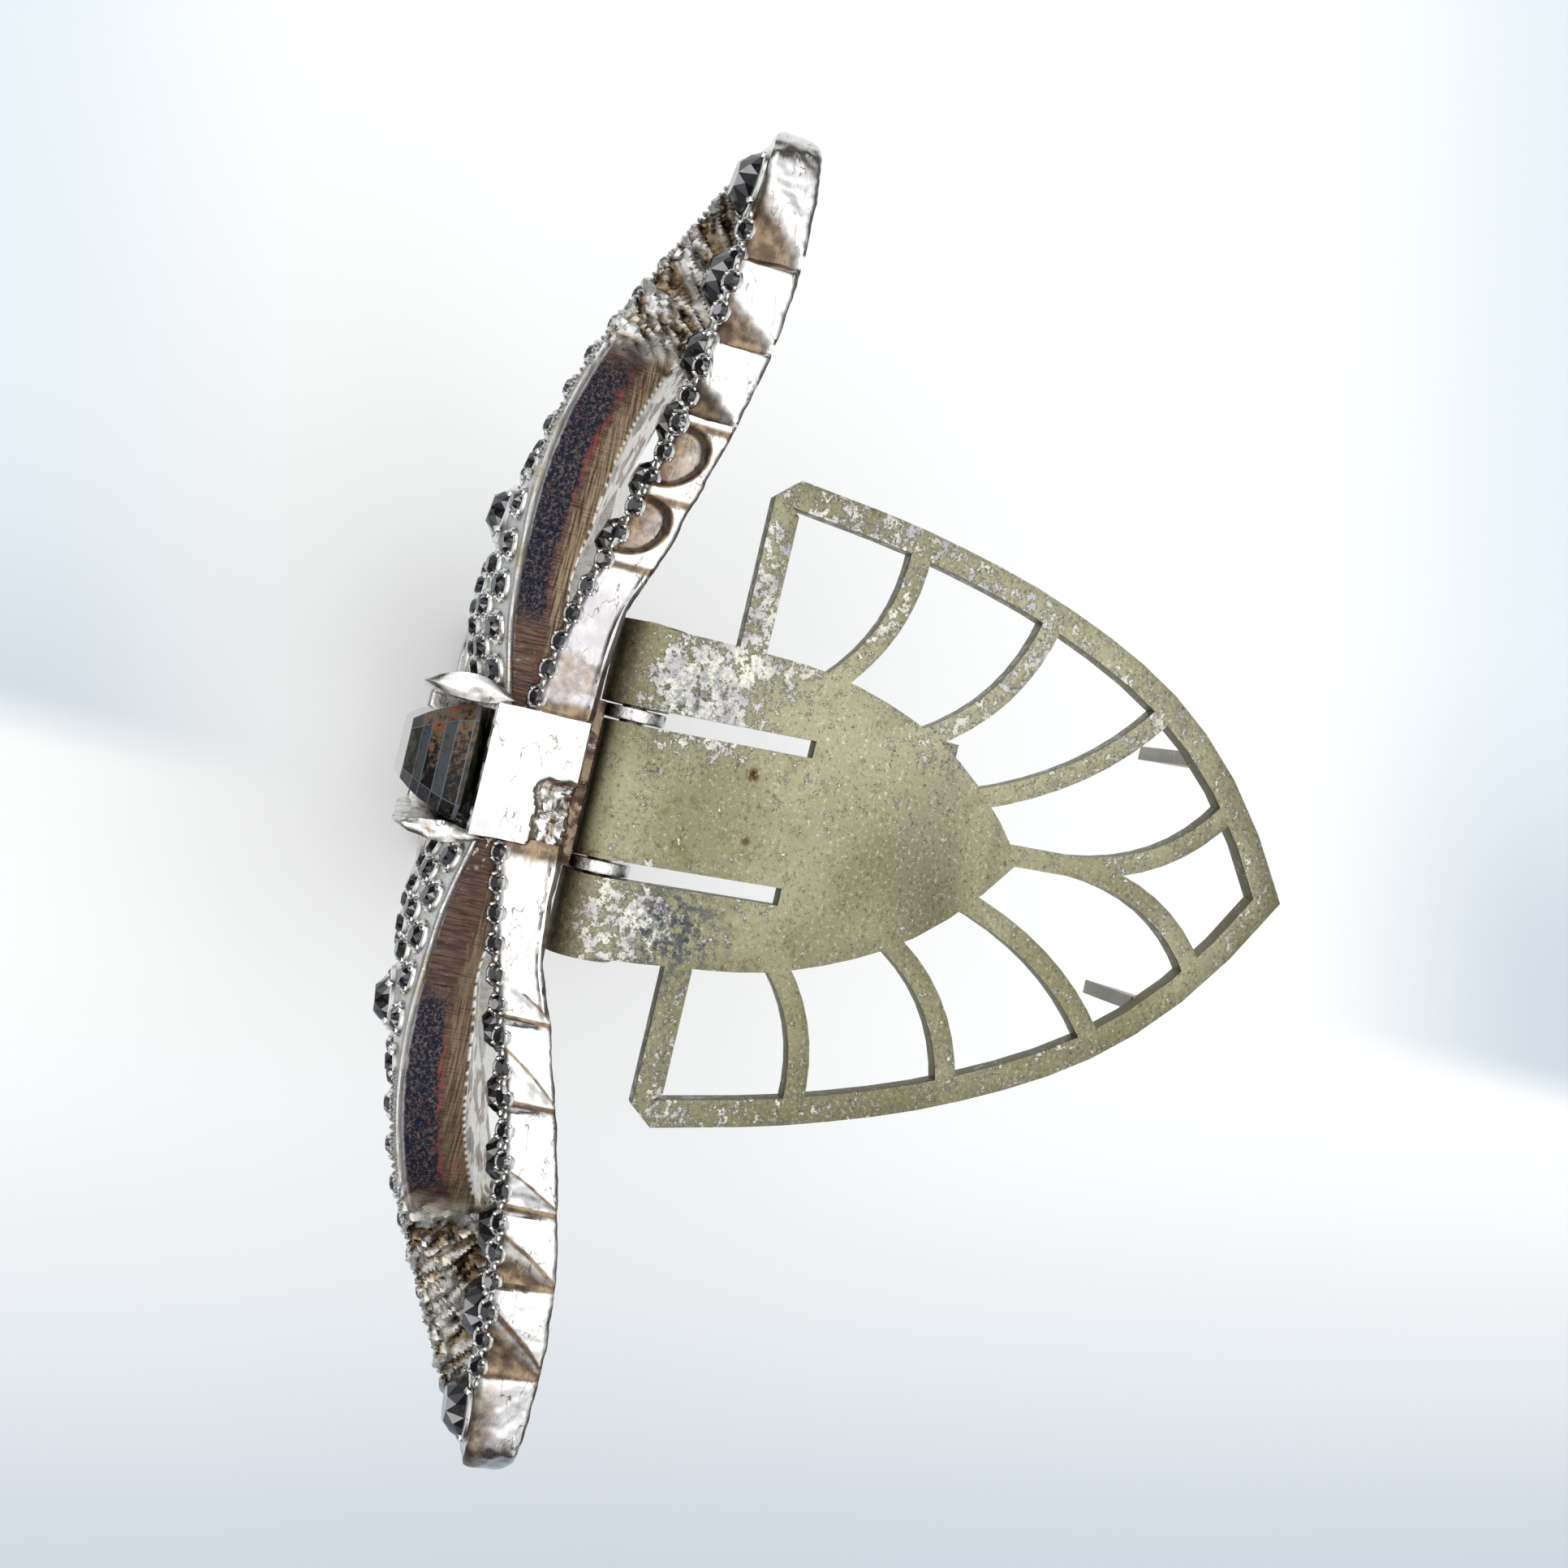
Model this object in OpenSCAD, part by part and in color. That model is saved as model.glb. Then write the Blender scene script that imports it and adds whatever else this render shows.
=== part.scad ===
// Dress clip with a step-cut centre stone, two pave wings and a hinged back flap.
// Origin at the middle of the foot's underside. X runs across the wings, Z is up, and
// the stones face -Y. The flap stands open, straight back along +Y.

/* [Body] */
// Height of the flap's upper face above the foot
flap_z = 38.0; // [37.5:0.1:39]
// Half of the span across the wings
half_span = 26.4; // [26.2:0.1:26.8]
// Half of the block's width behind the centre stone
block_half = 2.55; // [2.5:0.01:2.6]
// How far the block stands above the flap's upper face
block_rise = 1.0; // [0.8:0.1:1.4]
// Radius of the scrolls that the clip stands on
scroll_r = 3.6; // [3.4:0.1:3.8]
// Distance from the middle to a scroll's centre
scroll_x = 4.9; // [4.6:0.1:5.2]

/* [Scalloped border] */
// Radius of a scallop as a share of its width
lobe_bulge = 0.58; // [0.55:0.01:0.65]
// Height of the border's band
band_h = 3.4; // [3:0.1:4]

/* [Stones] */
// Radius of a pave stone
pave_r = 0.5; // [0.45:0.01:0.6]
// Spacing of the pave stones
pave_pitch = 1.55; // [1.5:0.01:1.8]
// Radius of a border stone
border_stone_r = 1.2; // [1:0.01:1.25]
// Radius of the large stone on each dome
dome_stone_r = 0.95; // [0.85:0.01:1.1]
// Half of the centre stone's width
stone_half = 2.2; // [2.1:0.01:2.25]
// Height of the centre stone
stone_h = 10.4; // [9:0.1:11]
// Air between a stone and its seat
seat_gap = 0.06; // [0.04:0.01:0.1]

/* [Hinge] */
// Radius of the hinge pin
pin_r = 0.5; // [0.45:0.01:0.52]
// Clearance of the knuckles round the pin
knuckle_clear = 0.05; // [0.03:0.01:0.08]
// Thickness of a bracket ear
ear_t = 0.5; // [0.45:0.01:0.52]

/* [Flap] */
// Thickness of the flap's sheet
sheet_t = 0.8; // [0.7:0.01:0.85]
// Length of the flap from its tongue's end to its tip
flap_l = 30.5; // [30.2:0.1:30.8]
// Width of the rim
rim_w = 1.1; // [1:0.05:1.2]
// Width of a spoke
spoke_w = 0.86; // [0.8:0.01:0.95]
// Half of the middle tongue's width
tongue_half = 2.65; // [2.6:0.01:2.68]
// Width of the slots beside the tongue
slot_w = 0.7; // [0.7:0.01:0.75]
// Length of a tooth
tooth_l = 3.5; // [3:0.1:3.6]
// How far the sheet leans to the left for each millimetre of its length
flap_lean = 0.047; // [0:0.001:0.05]
// How far the bracket and the flap sit to the left
flap_shift = 0.2; // [0:0.01:0.3]
// How far the pierced leaf sits to the left of the hinge
leaf_shift = 0.25; // [0:0.01:0.3]

/* [Hidden] */
$fn = 48;

knuckle_r = pin_r + knuckle_clear + sheet_t;
pin_y = knuckle_r - 0.2;
pin_z = flap_z - knuckle_r;
block_top = flap_z + block_rise;
block_front = -4.3;
block_foot = block_top - 13;
block_back = -0.65;
ear_x = tongue_half + slot_w / 2;
arm_half = 6.6;
slot_end = 8.3;
bar_u = 4.4;
stem_u = 17;
corner_half = 12.2;
back_share = 0.6;
first_stone = 3.65;
eps = 0.01;

// Wing ribbon. Columns: half-span, front edge, back edge, top, bottom, height of the dome,
// set-back of the bottom edge.
RIBBON = [
    [ 2.3, -3.9, -2.0, -0.1, -8.4, 0.8, 0.6],
    [ 5.4, -4.6, -2.3,  0.3, -8.6, 1.2, 1.0],
    [ 7.5, -4.8, -2.6,  0.6, -8.5, 1.2, 1.5],
    [10.1, -4.9, -2.3,  0.9, -8.0, 1.0, 1.7],
    [12.9, -4.6, -1.9,  0.9, -7.2, 0.4, 2.4],
    [15.8, -3.8, -0.9,  0.3, -6.2, 0.2, 2.2],
    [18.6, -2.6,  0.5, -1.0, -5.3, 0.2, 1.8],
    [21.6, -1.2,  1.4, -1.9, -4.6, 0.1, 1.3],
    [24.3,  0.1,  1.8, -1.9, -3.6, 0.1, 0.8]
];
// Scalloped border seen from above. Columns: half-span, front edge, back edge, top.
BORDER = [
    [ 2.3, -2.9, -0.60, 0.7],
    [ 6.5, -2.2, -0.42, 1.1],
    [ 8.9, -1.5,  0.35, 1.4],
    [11.7, -0.7,  1.10, 1.8],
    [14.5, -0.1,  1.85, 2.1],
    [17.6,  0.3,  2.50, 2.3],
    [20.9,  0.6,  2.85, 2.2],
    [24.3,  0.8,  2.85, 1.8],
    [27.0,  1.0,  2.70, 1.0]
];
// Half-spans where one scallop ends and the next begins.
LOBE_ENDS = [8.3, 10.7, 13.0, 15.5, 18.3, 21.7, 26.2];
// Lower ribbon. Columns: height, centre, half-width, front edge, back edge, height of the dome.
TAIL = [
    [ 2.0,  5.6, 2.2, -1.3, 1.5, 0.5],
    [ 8.0,  8.2, 2.4, -1.2, 1.3, 0.8],
    [14.0, 10.6, 2.7, -1.3, 1.1, 1.0],
    [20.0, 12.0, 2.8, -1.7, 0.9, 1.0],
    [26.0, 12.6, 2.6, -2.2, 0.5, 0.8],
    [31.7, 12.7, 2.1, -2.4, -0.8, 0.2]
];
// Thin leaf between the keel and a lower ribbon, in the same columns.
LEAF = [
    [ 5.0,  4.9, 0.7, -3.2, -1.5, 0.2],
    [10.0,  5.8, 1.1, -2.7, -0.9, 0.3],
    [15.0,  6.7, 1.9, -2.6, -0.9, 0.5],
    [20.0,  7.2, 2.2, -2.7, -0.9, 0.6],
    [25.0,  7.3, 1.8, -2.8, -1.1, 0.5],
    [31.5,  7.4, 1.1, -2.8, -1.8, 0.3]
];
// Keel under the centre stone, in the same columns.
KEEL = [
    [ 2.0, 0, 1.5, -3.3, 1.0, 0.4],
    [10.0, 0, 1.7, -3.4, 0.4, 0.6],
    [18.0, 0, 1.9, -3.7, -0.1, 0.8],
    [26.0, 0, 2.0, -4.0, -0.6, 0.6],
    [29.0, 0, 2.1, -4.1, -0.7, 0.4]
];
// Outer edge of the flap. Columns: distance from the tongue's end, half-width.
FLAP_EDGE = [[5.3, 13.0], [11.0, 12.2], [17.4, 10.55], [23.4, 7.8], [27.65, 4.1], [30.5, 0]];
// Edge of the flap's leaf-shaped plate, in the same columns.
PLATE_EDGE = [[1.1, 6.5], [4.3, 6.4], [8.7, 6.0], [13.1, 4.45], [16.0, 2.35], [18.0, 0]];
// Centre lines of the flap's spokes: start, control point and end, each half-width first.
SPOKES = [
    [[5.4, 8.3], [7.9, 10.9], [11.5, 10.8]],
    [[4.0, 12.7], [6.0, 16.3], [9.9, 17.1]],
    [[2.0, 15.5], [3.55, 20.4], [7.0, 23.0]],
    [[0.0, 20.4], [0.35, 24.9], [3.6, 27.1]]
];
// Teeth of the flap. Columns: half-width, distance from the tongue's end, lean of the tip.
TEETH = [[5.4, 25.5, -1.0], [3.8, 13.9, 1.1]];
// Centre stone. Columns: depth, step in from its sides, step in from its ends, cut of the corners.
STONE_STEPS = [
    [-4.40, 1.0, 1.0, 0.3],
    [-4.72, 0, 0, 0.6],
    [-4.90, 0, 0, 0.6],
    [-5.45, 0.16, 0.22, 0.58],
    [-5.85, 0.33, 0.46, 0.56],
    [-6.30, 0.55, 0.78, 0.53],
    [-6.60, 0.74, 1.02, 0.49],
    [-7.00, 1.05, 1.5, 0.4]
];

// Smooth curve through one column of a table, against its first column.
function row_at(table, x, i = 0) =
    i >= len(table) - 2 || x < table[i + 1][0] ? i : row_at(table, x, i + 1);
function slope(table, col, i) =
    let (a = max(i - 1, 0), b = min(i + 1, len(table) - 1))
    (table[b][col] - table[a][col]) / (table[b][0] - table[a][0]);
function curve(table, col, x) =
    let (
        i = row_at(table, x),
        step = table[i + 1][0] - table[i][0],
        t = (x - table[i][0]) / step,
        a = table[i][col],
        b = table[i + 1][col],
        rise_a = slope(table, col, i) * step,
        rise_b = slope(table, col, i + 1) * step
    )
    a * (2 * t * t * t - 3 * t * t + 1) + rise_a * (t * t * t - 2 * t * t + t)
    + b * (3 * t * t - 2 * t * t * t) + rise_b * (t * t * t - t * t);
function steps(from, to, count) = [for (k = [0:count]) from + (to - from) * k / count];
function bend(a, c, b, t) = (1 - t) * (1 - t) * a + 2 * t * (1 - t) * c + t * t * b;

// Solid through a row of rings that run along the axis they face.
module loft(rings) {
    n = len(rings[0]);
    last = len(rings) - 1;
    points = [for (ring = rings, p = ring) p];
    first_cap = [[for (k = [0:n - 1]) k]];
    last_cap = [[for (k = [n - 1:-1:0]) last * n + k]];
    walls = [
        for (i = [0:last - 1], k = [0:n - 1], half = [0, 1])
            let (a = i * n + k, b = i * n + (k + 1) % n)
            half == 0 ? [a, a + n, b + n] : [a, b + n, b]
    ];
    polyhedron(points, concat(first_cap, walls, last_cap));
}

// Front face of a wing ribbon, and its outward normal.
function ribbon_top(x) = flap_z + curve(RIBBON, 3, x);
function ribbon_low(x) = flap_z + curve(RIBBON, 4, x);
function ribbon_face(x, z) =
    let (across = (ribbon_top(x) - z) / (ribbon_top(x) - ribbon_low(x)))
    curve(RIBBON, 1, x) - curve(RIBBON, 5, x) * sin(180 * across) + curve(RIBBON, 6, x) * across;
function ribbon_normal(x, z) =
    let (e = 0.1)
    [
        (ribbon_face(x + e, z) - ribbon_face(x - e, z)) / (2 * e),
        -1,
        (ribbon_face(x, z + e) - ribbon_face(x, z - e)) / (2 * e)
    ];
function ribbon_ring(x) = concat(
    [[x, curve(RIBBON, 2, x), ribbon_top(x)]],
    [for (z = steps(ribbon_top(x), ribbon_low(x), 6)) [x, ribbon_face(x, z), z]],
    [[x, curve(RIBBON, 2, x) + back_share * curve(RIBBON, 6, x), ribbon_low(x)]]
);

// Front face of a lower ribbon or of the keel, and its outward normal.
function strip_face(table, x, z) =
    let (
        w = curve(table, 2, z),
        across = (x - curve(table, 1, z) + w) / (2 * w)
    )
    curve(table, 3, z) - curve(table, 5, z) * sin(180 * across);
function strip_normal(table, x, z) =
    let (e = 0.1)
    [
        (strip_face(table, x + e, z) - strip_face(table, x - e, z)) / (2 * e),
        -1,
        (strip_face(table, x, z + e) - strip_face(table, x, z - e)) / (2 * e)
    ];
function strip_ring(table, z) =
    let (c = curve(table, 1, z), w = curve(table, 2, z), back = curve(table, 4, z))
    concat(
        [[c - w, back, z]],
        [for (x = steps(c - w, c + w, 6)) [x, strip_face(table, x, z), z]],
        [[c + w, back, z]]
    );

module both_sides() {
    children();
    mirror([1, 0, 0]) children();
}

module wing_ribbon() {
    loft([for (x = steps(2.3, 24.6, 16)) ribbon_ring(x)]);
}

module strip(table, count) {
    loft([for (z = steps(table[0][0], table[len(table) - 1][0], count)) strip_ring(table, z)]);
}

// Plan of the border, straight up through the whole height.
module border_plan() {
    xs = steps(2.3, 27.6, 20);
    polygon(concat(
        [for (x = xs) [x, curve(BORDER, 1, x)]],
        [for (k = [len(xs) - 1:-1:0]) [xs[k], curve(BORDER, 2, xs[k])]]
    ));
}

function border_top(x) = flap_z + curve(BORDER, 3, x);
function lobe_w(n) = LOBE_ENDS[n + 1] - LOBE_ENDS[n];
function lobe_x(n) = (LOBE_ENDS[n + 1] + LOBE_ENDS[n]) / 2;
LAST_LOBE = len(LOBE_ENDS) - 2;

// Border seen from the front: a plain stretch beside the centre, then the scallops.
module border_front() {
    sink = 1.3;
    plain_end = LOBE_ENDS[0];
    xs = steps(2.3, lobe_x(LAST_LOBE), 12);
    polygon(concat(
        [for (x = xs) [x, border_top(x) - sink]],
        [for (k = [len(xs) - 1:-1:0]) [xs[k], border_top(xs[k]) - band_h]]
    ));
    plain = steps(2.3, plain_end, 4);
    polygon(concat(
        [for (x = plain) [x, border_top(x)]],
        [[plain_end, border_top(plain_end) - 2], [2.3, border_top(2.3) - 2]]
    ));
    for (n = [0:LAST_LOBE]) {
        r = n == LAST_LOBE ? half_span - lobe_x(n) : lobe_bulge * lobe_w(n);
        translate([lobe_x(n), border_top(lobe_x(n)) - r])
            circle(r);
    }
}

module border() {
    intersection() {
        translate([0, 10, 0])
            rotate([90, 0, 0])
                linear_extrude(20)
                    border_front();
        linear_extrude(flap_z + 10)
            border_plan();
    }
}

// Block behind the centre stone, with the notch at its back corner.
module block() {
    difference() {
        translate([-block_half, block_front, block_foot])
            cube([2 * block_half, block_back - block_front, block_top - block_foot]);
        translate([0.4, block_back - 1.4, block_top - 1.1])
            cube([block_half, 2, 2]);
    }
}

// Leaf-shaped cheek beside the centre stone: the lens where two cylinders meet.
module cheek() {
    lens_r = 4.43;
    half_thickness = 0.36;
    centre = [stone_half + 0.42, -5.3];
    intersection() {
        translate([centre[0] - lens_r + half_thickness, centre[1], block_foot + 0.6])
            cylinder(h = block_top - block_foot - 0.5, r = lens_r, $fn = 96);
        translate([centre[0] + lens_r - half_thickness, centre[1], block_foot + 0.6])
            cylinder(h = block_top - block_foot - 0.5, r = lens_r, $fn = 96);
    }
}

// Ledge under the centre stone.
module ledge() {
    translate([-block_half, -6.2, block_foot])
        cube([2 * block_half, 2, 1.6]);
}

// Two scrolls and a middle drop, cut flat underneath.
module foot() {
    front = -3.4;
    back = 2.3;
    scroll_z = 3.0;
    drop_r = 2.0;
    intersection() {
        union() {
            for (side = [-1, 1])
                translate([side * scroll_x, back, scroll_z])
                    rotate([90, 0, 0])
                        cylinder(h = back - front, r = scroll_r);
            translate([0, back - 0.6, drop_r - 0.4])
                rotate([90, 0, 0])
                    cylinder(h = back - front - 0.8, r = drop_r);
        }
        translate([-20, -10, 0])
            cube([40, 20, 20]);
    }
}

// Hinge bracket soldered to the block's back: a base plate and two ears.
module bracket() {
    ear_r = 1.3;
    bore_r = pin_r + 0.02;
    plate_front = block_back - 0.1;
    plate_back = -0.12;
    plate_h = 5.4;
    difference() {
        union() {
            translate([-ear_x - ear_t / 2, plate_front, flap_z - 0.3 - plate_h])
                cube([2 * ear_x + ear_t, plate_back - plate_front, plate_h]);
            for (side = [-1, 1])
                translate([side * ear_x - ear_t / 2, 0, 0]) {
                    translate([0, pin_y, pin_z])
                        rotate([0, 90, 0])
                            cylinder(h = ear_t, r = ear_r);
                    translate([0, plate_front, pin_z - 2.4])
                        cube([ear_t, pin_y - plate_front, 2.6]);
                }
        }
        translate([-10, pin_y, pin_z])
            rotate([0, 90, 0])
                cylinder(h = 20, r = bore_r);
    }
}

module frame() {
    color("gainsboro")
        union() {
            both_sides() {
                border();
                wing_ribbon();
                strip(TAIL, 12);
                strip(LEAF, 10);
                cheek();
            }
            strip(KEEL, 8);
            block();
            ledge();
            foot();
            translate([-flap_shift, 0, 0])
                bracket();
        }
}

// Step-cut stone with cut corners, its table to the front.
module centre_stone() {
    mid_z = block_top - 0.2 - stone_h / 2;
    function corner(half_w, half_h, cut, y) = [
        [half_w, y, mid_z - half_h + cut],
        [half_w, y, mid_z + half_h - cut],
        [half_w - cut, y, mid_z + half_h],
        [cut - half_w, y, mid_z + half_h],
        [-half_w, y, mid_z + half_h - cut],
        [-half_w, y, mid_z - half_h + cut],
        [cut - half_w, y, mid_z - half_h],
        [half_w - cut, y, mid_z - half_h]
    ];
    color("dimgray")
        loft([for (s = STONE_STEPS) corner(stone_half - s[1], stone_h / 2 - s[2], s[3], s[0])]);
}

// Round cut stone on a seat: eight facets round a table, over a thin girdle.
module round_stone(r, seat, normal) {
    h = 0.55 * r;
    girdle = 0.12 * r;
    tilt = acos(normal[2] / norm(normal));
    turn = atan2(normal[1], normal[0]);
    translate(seat)
        rotate([0, tilt, turn])
            translate([0, 0, seat_gap]) {
                cylinder(h = girdle, r = r, $fn = 8);
                translate([0, 0, girdle])
                    cylinder(h = h, r1 = r, r2 = 0.58 * r, $fn = 8);
            }
}

dome_x = 9.6;
dome_z = ribbon_top(dome_x) - 3.0;

module dome_stone() {
    color("slategray")
        round_stone(
            dome_stone_r,
            [dome_x, ribbon_face(dome_x, dome_z), dome_z],
            ribbon_normal(dome_x, dome_z)
        );
}

// Round stone on the border's front face, under a scallop.
module border_stone(n) {
    x = lobe_x(n - 1);
    r = min(border_stone_r, 0.36 * lobe_w(n - 1));
    e = 0.1;
    run = (curve(BORDER, 1, x + e) - curve(BORDER, 1, x - e)) / (2 * e);
    color("slategray")
        round_stone(r, [x, curve(BORDER, 1, x), border_top(x) - r - 0.6], [run, -1, 0]);
}

// Rows of small stones across a wing's dome, every other row moved by half a pitch.
module pave_wing() {
    edge = pave_r + 0.1;
    row_h = pave_pitch * 0.9;
    color("lightslategray")
        for (row = [0:4], k = [0:11]) {
            x = first_stone + pave_pitch * (k + (row % 2) / 2);
            z = ribbon_top(x) - edge - 0.15 - row_h * row;
            to_dome = norm([x - dome_x, z - dome_z]);
            if (z > ribbon_low(x) + edge && to_dome > dome_stone_r + pave_r + 0.12)
                round_stone(pave_r, [x, ribbon_face(x, z), z], ribbon_normal(x, z));
        }
}

// Rows of small stones down a strip, each row moved by half a pitch against the next.
module pave_strip(table, from, count, rows, r) {
    spacing = 2 * r + 0.35;
    color("lightslategray")
        for (row = [0:rows - 1], k = [0:count - 1]) {
            z = from + (k + (row % 2) / 2) * spacing;
            x = curve(table, 1, z) + (row - (rows - 1) / 2) * 0.92 * spacing;
            round_stone(r, [x, strip_face(table, x, z), z], strip_normal(table, x, z));
        }
}

// Flap, laid flat with its length along Y and its upper face at height 0. Its outline leans:
// each point moves to the left by its distance from the hinge, and by the shift given.
function lean(points, shift) = [
    for (p = points) [p[0] - shift - flap_lean * (p[1] - pin_y), p[1]]
];
function turned_round(points) = [for (k = [len(points) - 1:-1:0]) [-points[k][0], points[k][1]]];
function flap_side(u) = curve(FLAP_EDGE, 1, u);
module flap_outline(inset) {
    us = steps(FLAP_EDGE[0][0], flap_l, 14);
    edge = [
        for (k = [0:len(us) - 1])
            let (
                e = 0.05,
                u = us[k],
                run = k == len(us) - 1 ? slope(FLAP_EDGE, 1, len(FLAP_EDGE) - 1)
                    : (flap_side(u + e) - flap_side(u)) / e,
                along = inset / sqrt(1 + run * run)
            )
            k == len(us) - 1 ? [0, u - inset * sqrt(1 + 1 / (run * run))]
                : [flap_side(u) - along, u + run * along]
    ];
    right = concat([[corner_half - inset * 0.55, bar_u + inset]], edge);
    left = turned_round([for (k = [0:len(right) - 2]) right[k]]);
    polygon(lean(concat(right, left), leaf_shift));
}

module curved_bar(start, control, end, w, side) {
    count = 8;
    line = [for (t = steps(0, 1, count)) let (p = bend(start, control, end, t)) [side * p[0], p[1]]];
    half = [
        for (k = [0:count])
            let (
                a = line[max(k - 1, 0)],
                b = line[min(k + 1, count)],
                along = (b - a) / norm(b - a)
            )
            [-along[1], along[0]] * w / 2
    ];
    edges = concat(
        [for (k = [0:count]) line[k] + half[k]],
        [for (k = [count:-1:0]) line[k] - half[k]]
    );
    polygon(lean(edges, leaf_shift));
}

module flap_plate() {
    us = steps(pin_y, PLATE_EDGE[len(PLATE_EDGE) - 1][0], 14);
    right = [for (u = us) [curve(PLATE_EDGE, 1, u), u]];
    polygon(lean(concat(right, turned_round(right)), 0));
}

module leaned_bar(middle, w, from, to, shift) {
    polygon(lean([
        [middle - w / 2, from], [middle + w / 2, from], [middle + w / 2, to], [middle - w / 2, to]
    ], shift));
}

module flap_sheet() {
    difference() {
        union() {
            difference() {
                flap_outline(0);
                flap_outline(rim_w);
            }
            flap_plate();
            for (side = [-1, 1], s = SPOKES)
                curved_bar(s[0], s[1], s[2], spoke_w, side);
            leaned_bar(0, spoke_w, stem_u, SPOKES[3][0][1], leaf_shift);
        }
        for (side = [-1, 1])
            leaned_bar(side * ear_x, slot_w, -1, slot_end, 0);
    }
    translate([-tongue_half, 0.5])
        square([2 * tongue_half, 1]);
}

// Tooth hanging under the sheet, its tip leaning along Y.
module tooth(tip) {
    base = 1.1;
    translate([-0.3, 0, -sheet_t + eps])
        rotate([90, 0, 90])
            linear_extrude(0.6)
                polygon([
                    [-base / 2, 0.2], [base / 2, 0.2], [base / 2, 0],
                    [tip / 2 + 0.35, -tooth_l * 0.55], [tip, -tooth_l],
                    [tip / 2 - 0.35, -tooth_l * 0.55], [-base / 2, 0]
                ]);
}

module flap() {
    arm_w = arm_half - tongue_half - slot_w;
    color("darkkhaki")
        translate([-flap_shift, 0, 0]) {
            translate([0, 0, flap_z - sheet_t])
                linear_extrude(sheet_t)
                    flap_sheet();
            // Rounded end of the tongue, turned down
            translate([-tongue_half, 0.5, flap_z - 0.5])
                rotate([0, 90, 0])
                    cylinder(h = 2 * tongue_half, r = 0.5);
            translate([-tongue_half, 0, flap_z - 1.15])
                cube([2 * tongue_half, 0.45, 0.65]);
            // Knuckles curled round the pin
            both_sides()
                translate([arm_half - arm_w, pin_y, pin_z])
                    rotate([0, 90, 0])
                        difference() {
                            cylinder(h = arm_w, r = knuckle_r);
                            translate([0, 0, -1])
                                cylinder(h = arm_w + 2, r = pin_r + knuckle_clear);
                            translate([0.25, 0.1, -1])
                                cube([0.5, 3, arm_w + 2]);
                        }
            for (side = [-1, 1], t = TEETH)
                let (root = lean([[side * t[0], t[1]]], leaf_shift)[0])
                translate([root[0], root[1], flap_z])
                    tooth(t[2]);
        }
}

module hinge_pin() {
    color("silver")
        translate([-arm_half - 0.1 - flap_shift, pin_y, pin_z])
            rotate([0, 90, 0])
                cylinder(h = 2 * arm_half + 0.2, r = pin_r);
}

frame();
centre_stone();
mirror([1, 0, 0]) dome_stone();  // dome_stone_left
dome_stone();  // dome_stone_right
for (n = [1:6]) {
    mirror([1, 0, 0]) border_stone(n);
    border_stone(n);
}
mirror([1, 0, 0]) pave_wing();  // pave_wing_left
pave_wing();  // pave_wing_right
mirror([1, 0, 0]) pave_strip(TAIL, 7.8, 17, 3, pave_r);  // pave_lower_left
pave_strip(TAIL, 7.8, 17, 3, pave_r);  // pave_lower_right
pave_strip(KEEL, 5.2, 10, 1, 0.75);  // pave_keel
flap();
hinge_pin();
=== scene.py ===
"""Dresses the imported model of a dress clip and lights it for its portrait."""

import math
import random
from functools import partial, reduce

import bmesh
import bpy
from bpy.props import FloatProperty, FloatVectorProperty, IntProperty, PointerProperty
from mathutils import Matrix, Vector, noise


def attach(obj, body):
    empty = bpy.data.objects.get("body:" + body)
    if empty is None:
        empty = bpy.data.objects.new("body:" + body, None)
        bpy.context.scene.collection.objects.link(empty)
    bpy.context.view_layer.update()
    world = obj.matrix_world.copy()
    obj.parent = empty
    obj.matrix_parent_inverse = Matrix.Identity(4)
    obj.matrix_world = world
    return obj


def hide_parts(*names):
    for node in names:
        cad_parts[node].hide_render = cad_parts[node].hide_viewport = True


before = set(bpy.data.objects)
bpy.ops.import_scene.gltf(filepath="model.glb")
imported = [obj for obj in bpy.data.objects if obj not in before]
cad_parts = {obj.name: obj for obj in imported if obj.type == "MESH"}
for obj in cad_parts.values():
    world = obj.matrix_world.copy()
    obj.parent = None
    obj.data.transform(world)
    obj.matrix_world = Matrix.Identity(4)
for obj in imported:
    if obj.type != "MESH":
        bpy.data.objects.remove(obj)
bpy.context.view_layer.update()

bl_info = {
    "name": "Dress Clip",
    "version": (1, 0, 0),
    "blender": (4, 5, 0),
    "location": "View3D > Sidebar > Dress Clip",
    "description": "Builds the dressed pieces of a pave dress clip over its packed model",
    "category": "Object",
}

METRE = 0.001  # one millimetre in metres; the pieces are drawn in millimetres
SIDES = ((1, "right"), (-1, "left"))

# Wing ribbon: half-span, front edge, back edge, top, bottom, height of the dome, and how far
# the bottom edge is set back
RIBBON = (
    (2.3, -3.9, -2.0, -0.1, -8.4, 0.8, 0.6),
    (5.4, -4.6, -2.3, 0.3, -8.6, 1.2, 1.0),
    (7.5, -4.8, -2.6, 0.6, -8.5, 1.2, 1.5),
    (10.1, -4.9, -2.3, 0.9, -8.0, 1.0, 1.7),
    (12.9, -4.6, -1.9, 0.9, -7.2, 0.4, 2.4),
    (15.8, -3.8, -0.9, 0.3, -6.2, 0.2, 2.2),
    (18.6, -2.6, 0.5, -1.0, -5.3, 0.2, 1.8),
    (21.6, -1.2, 1.4, -1.9, -4.6, 0.1, 1.3),
    (24.3, 0.1, 1.8, -1.9, -3.6, 0.1, 0.8),
)
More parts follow.
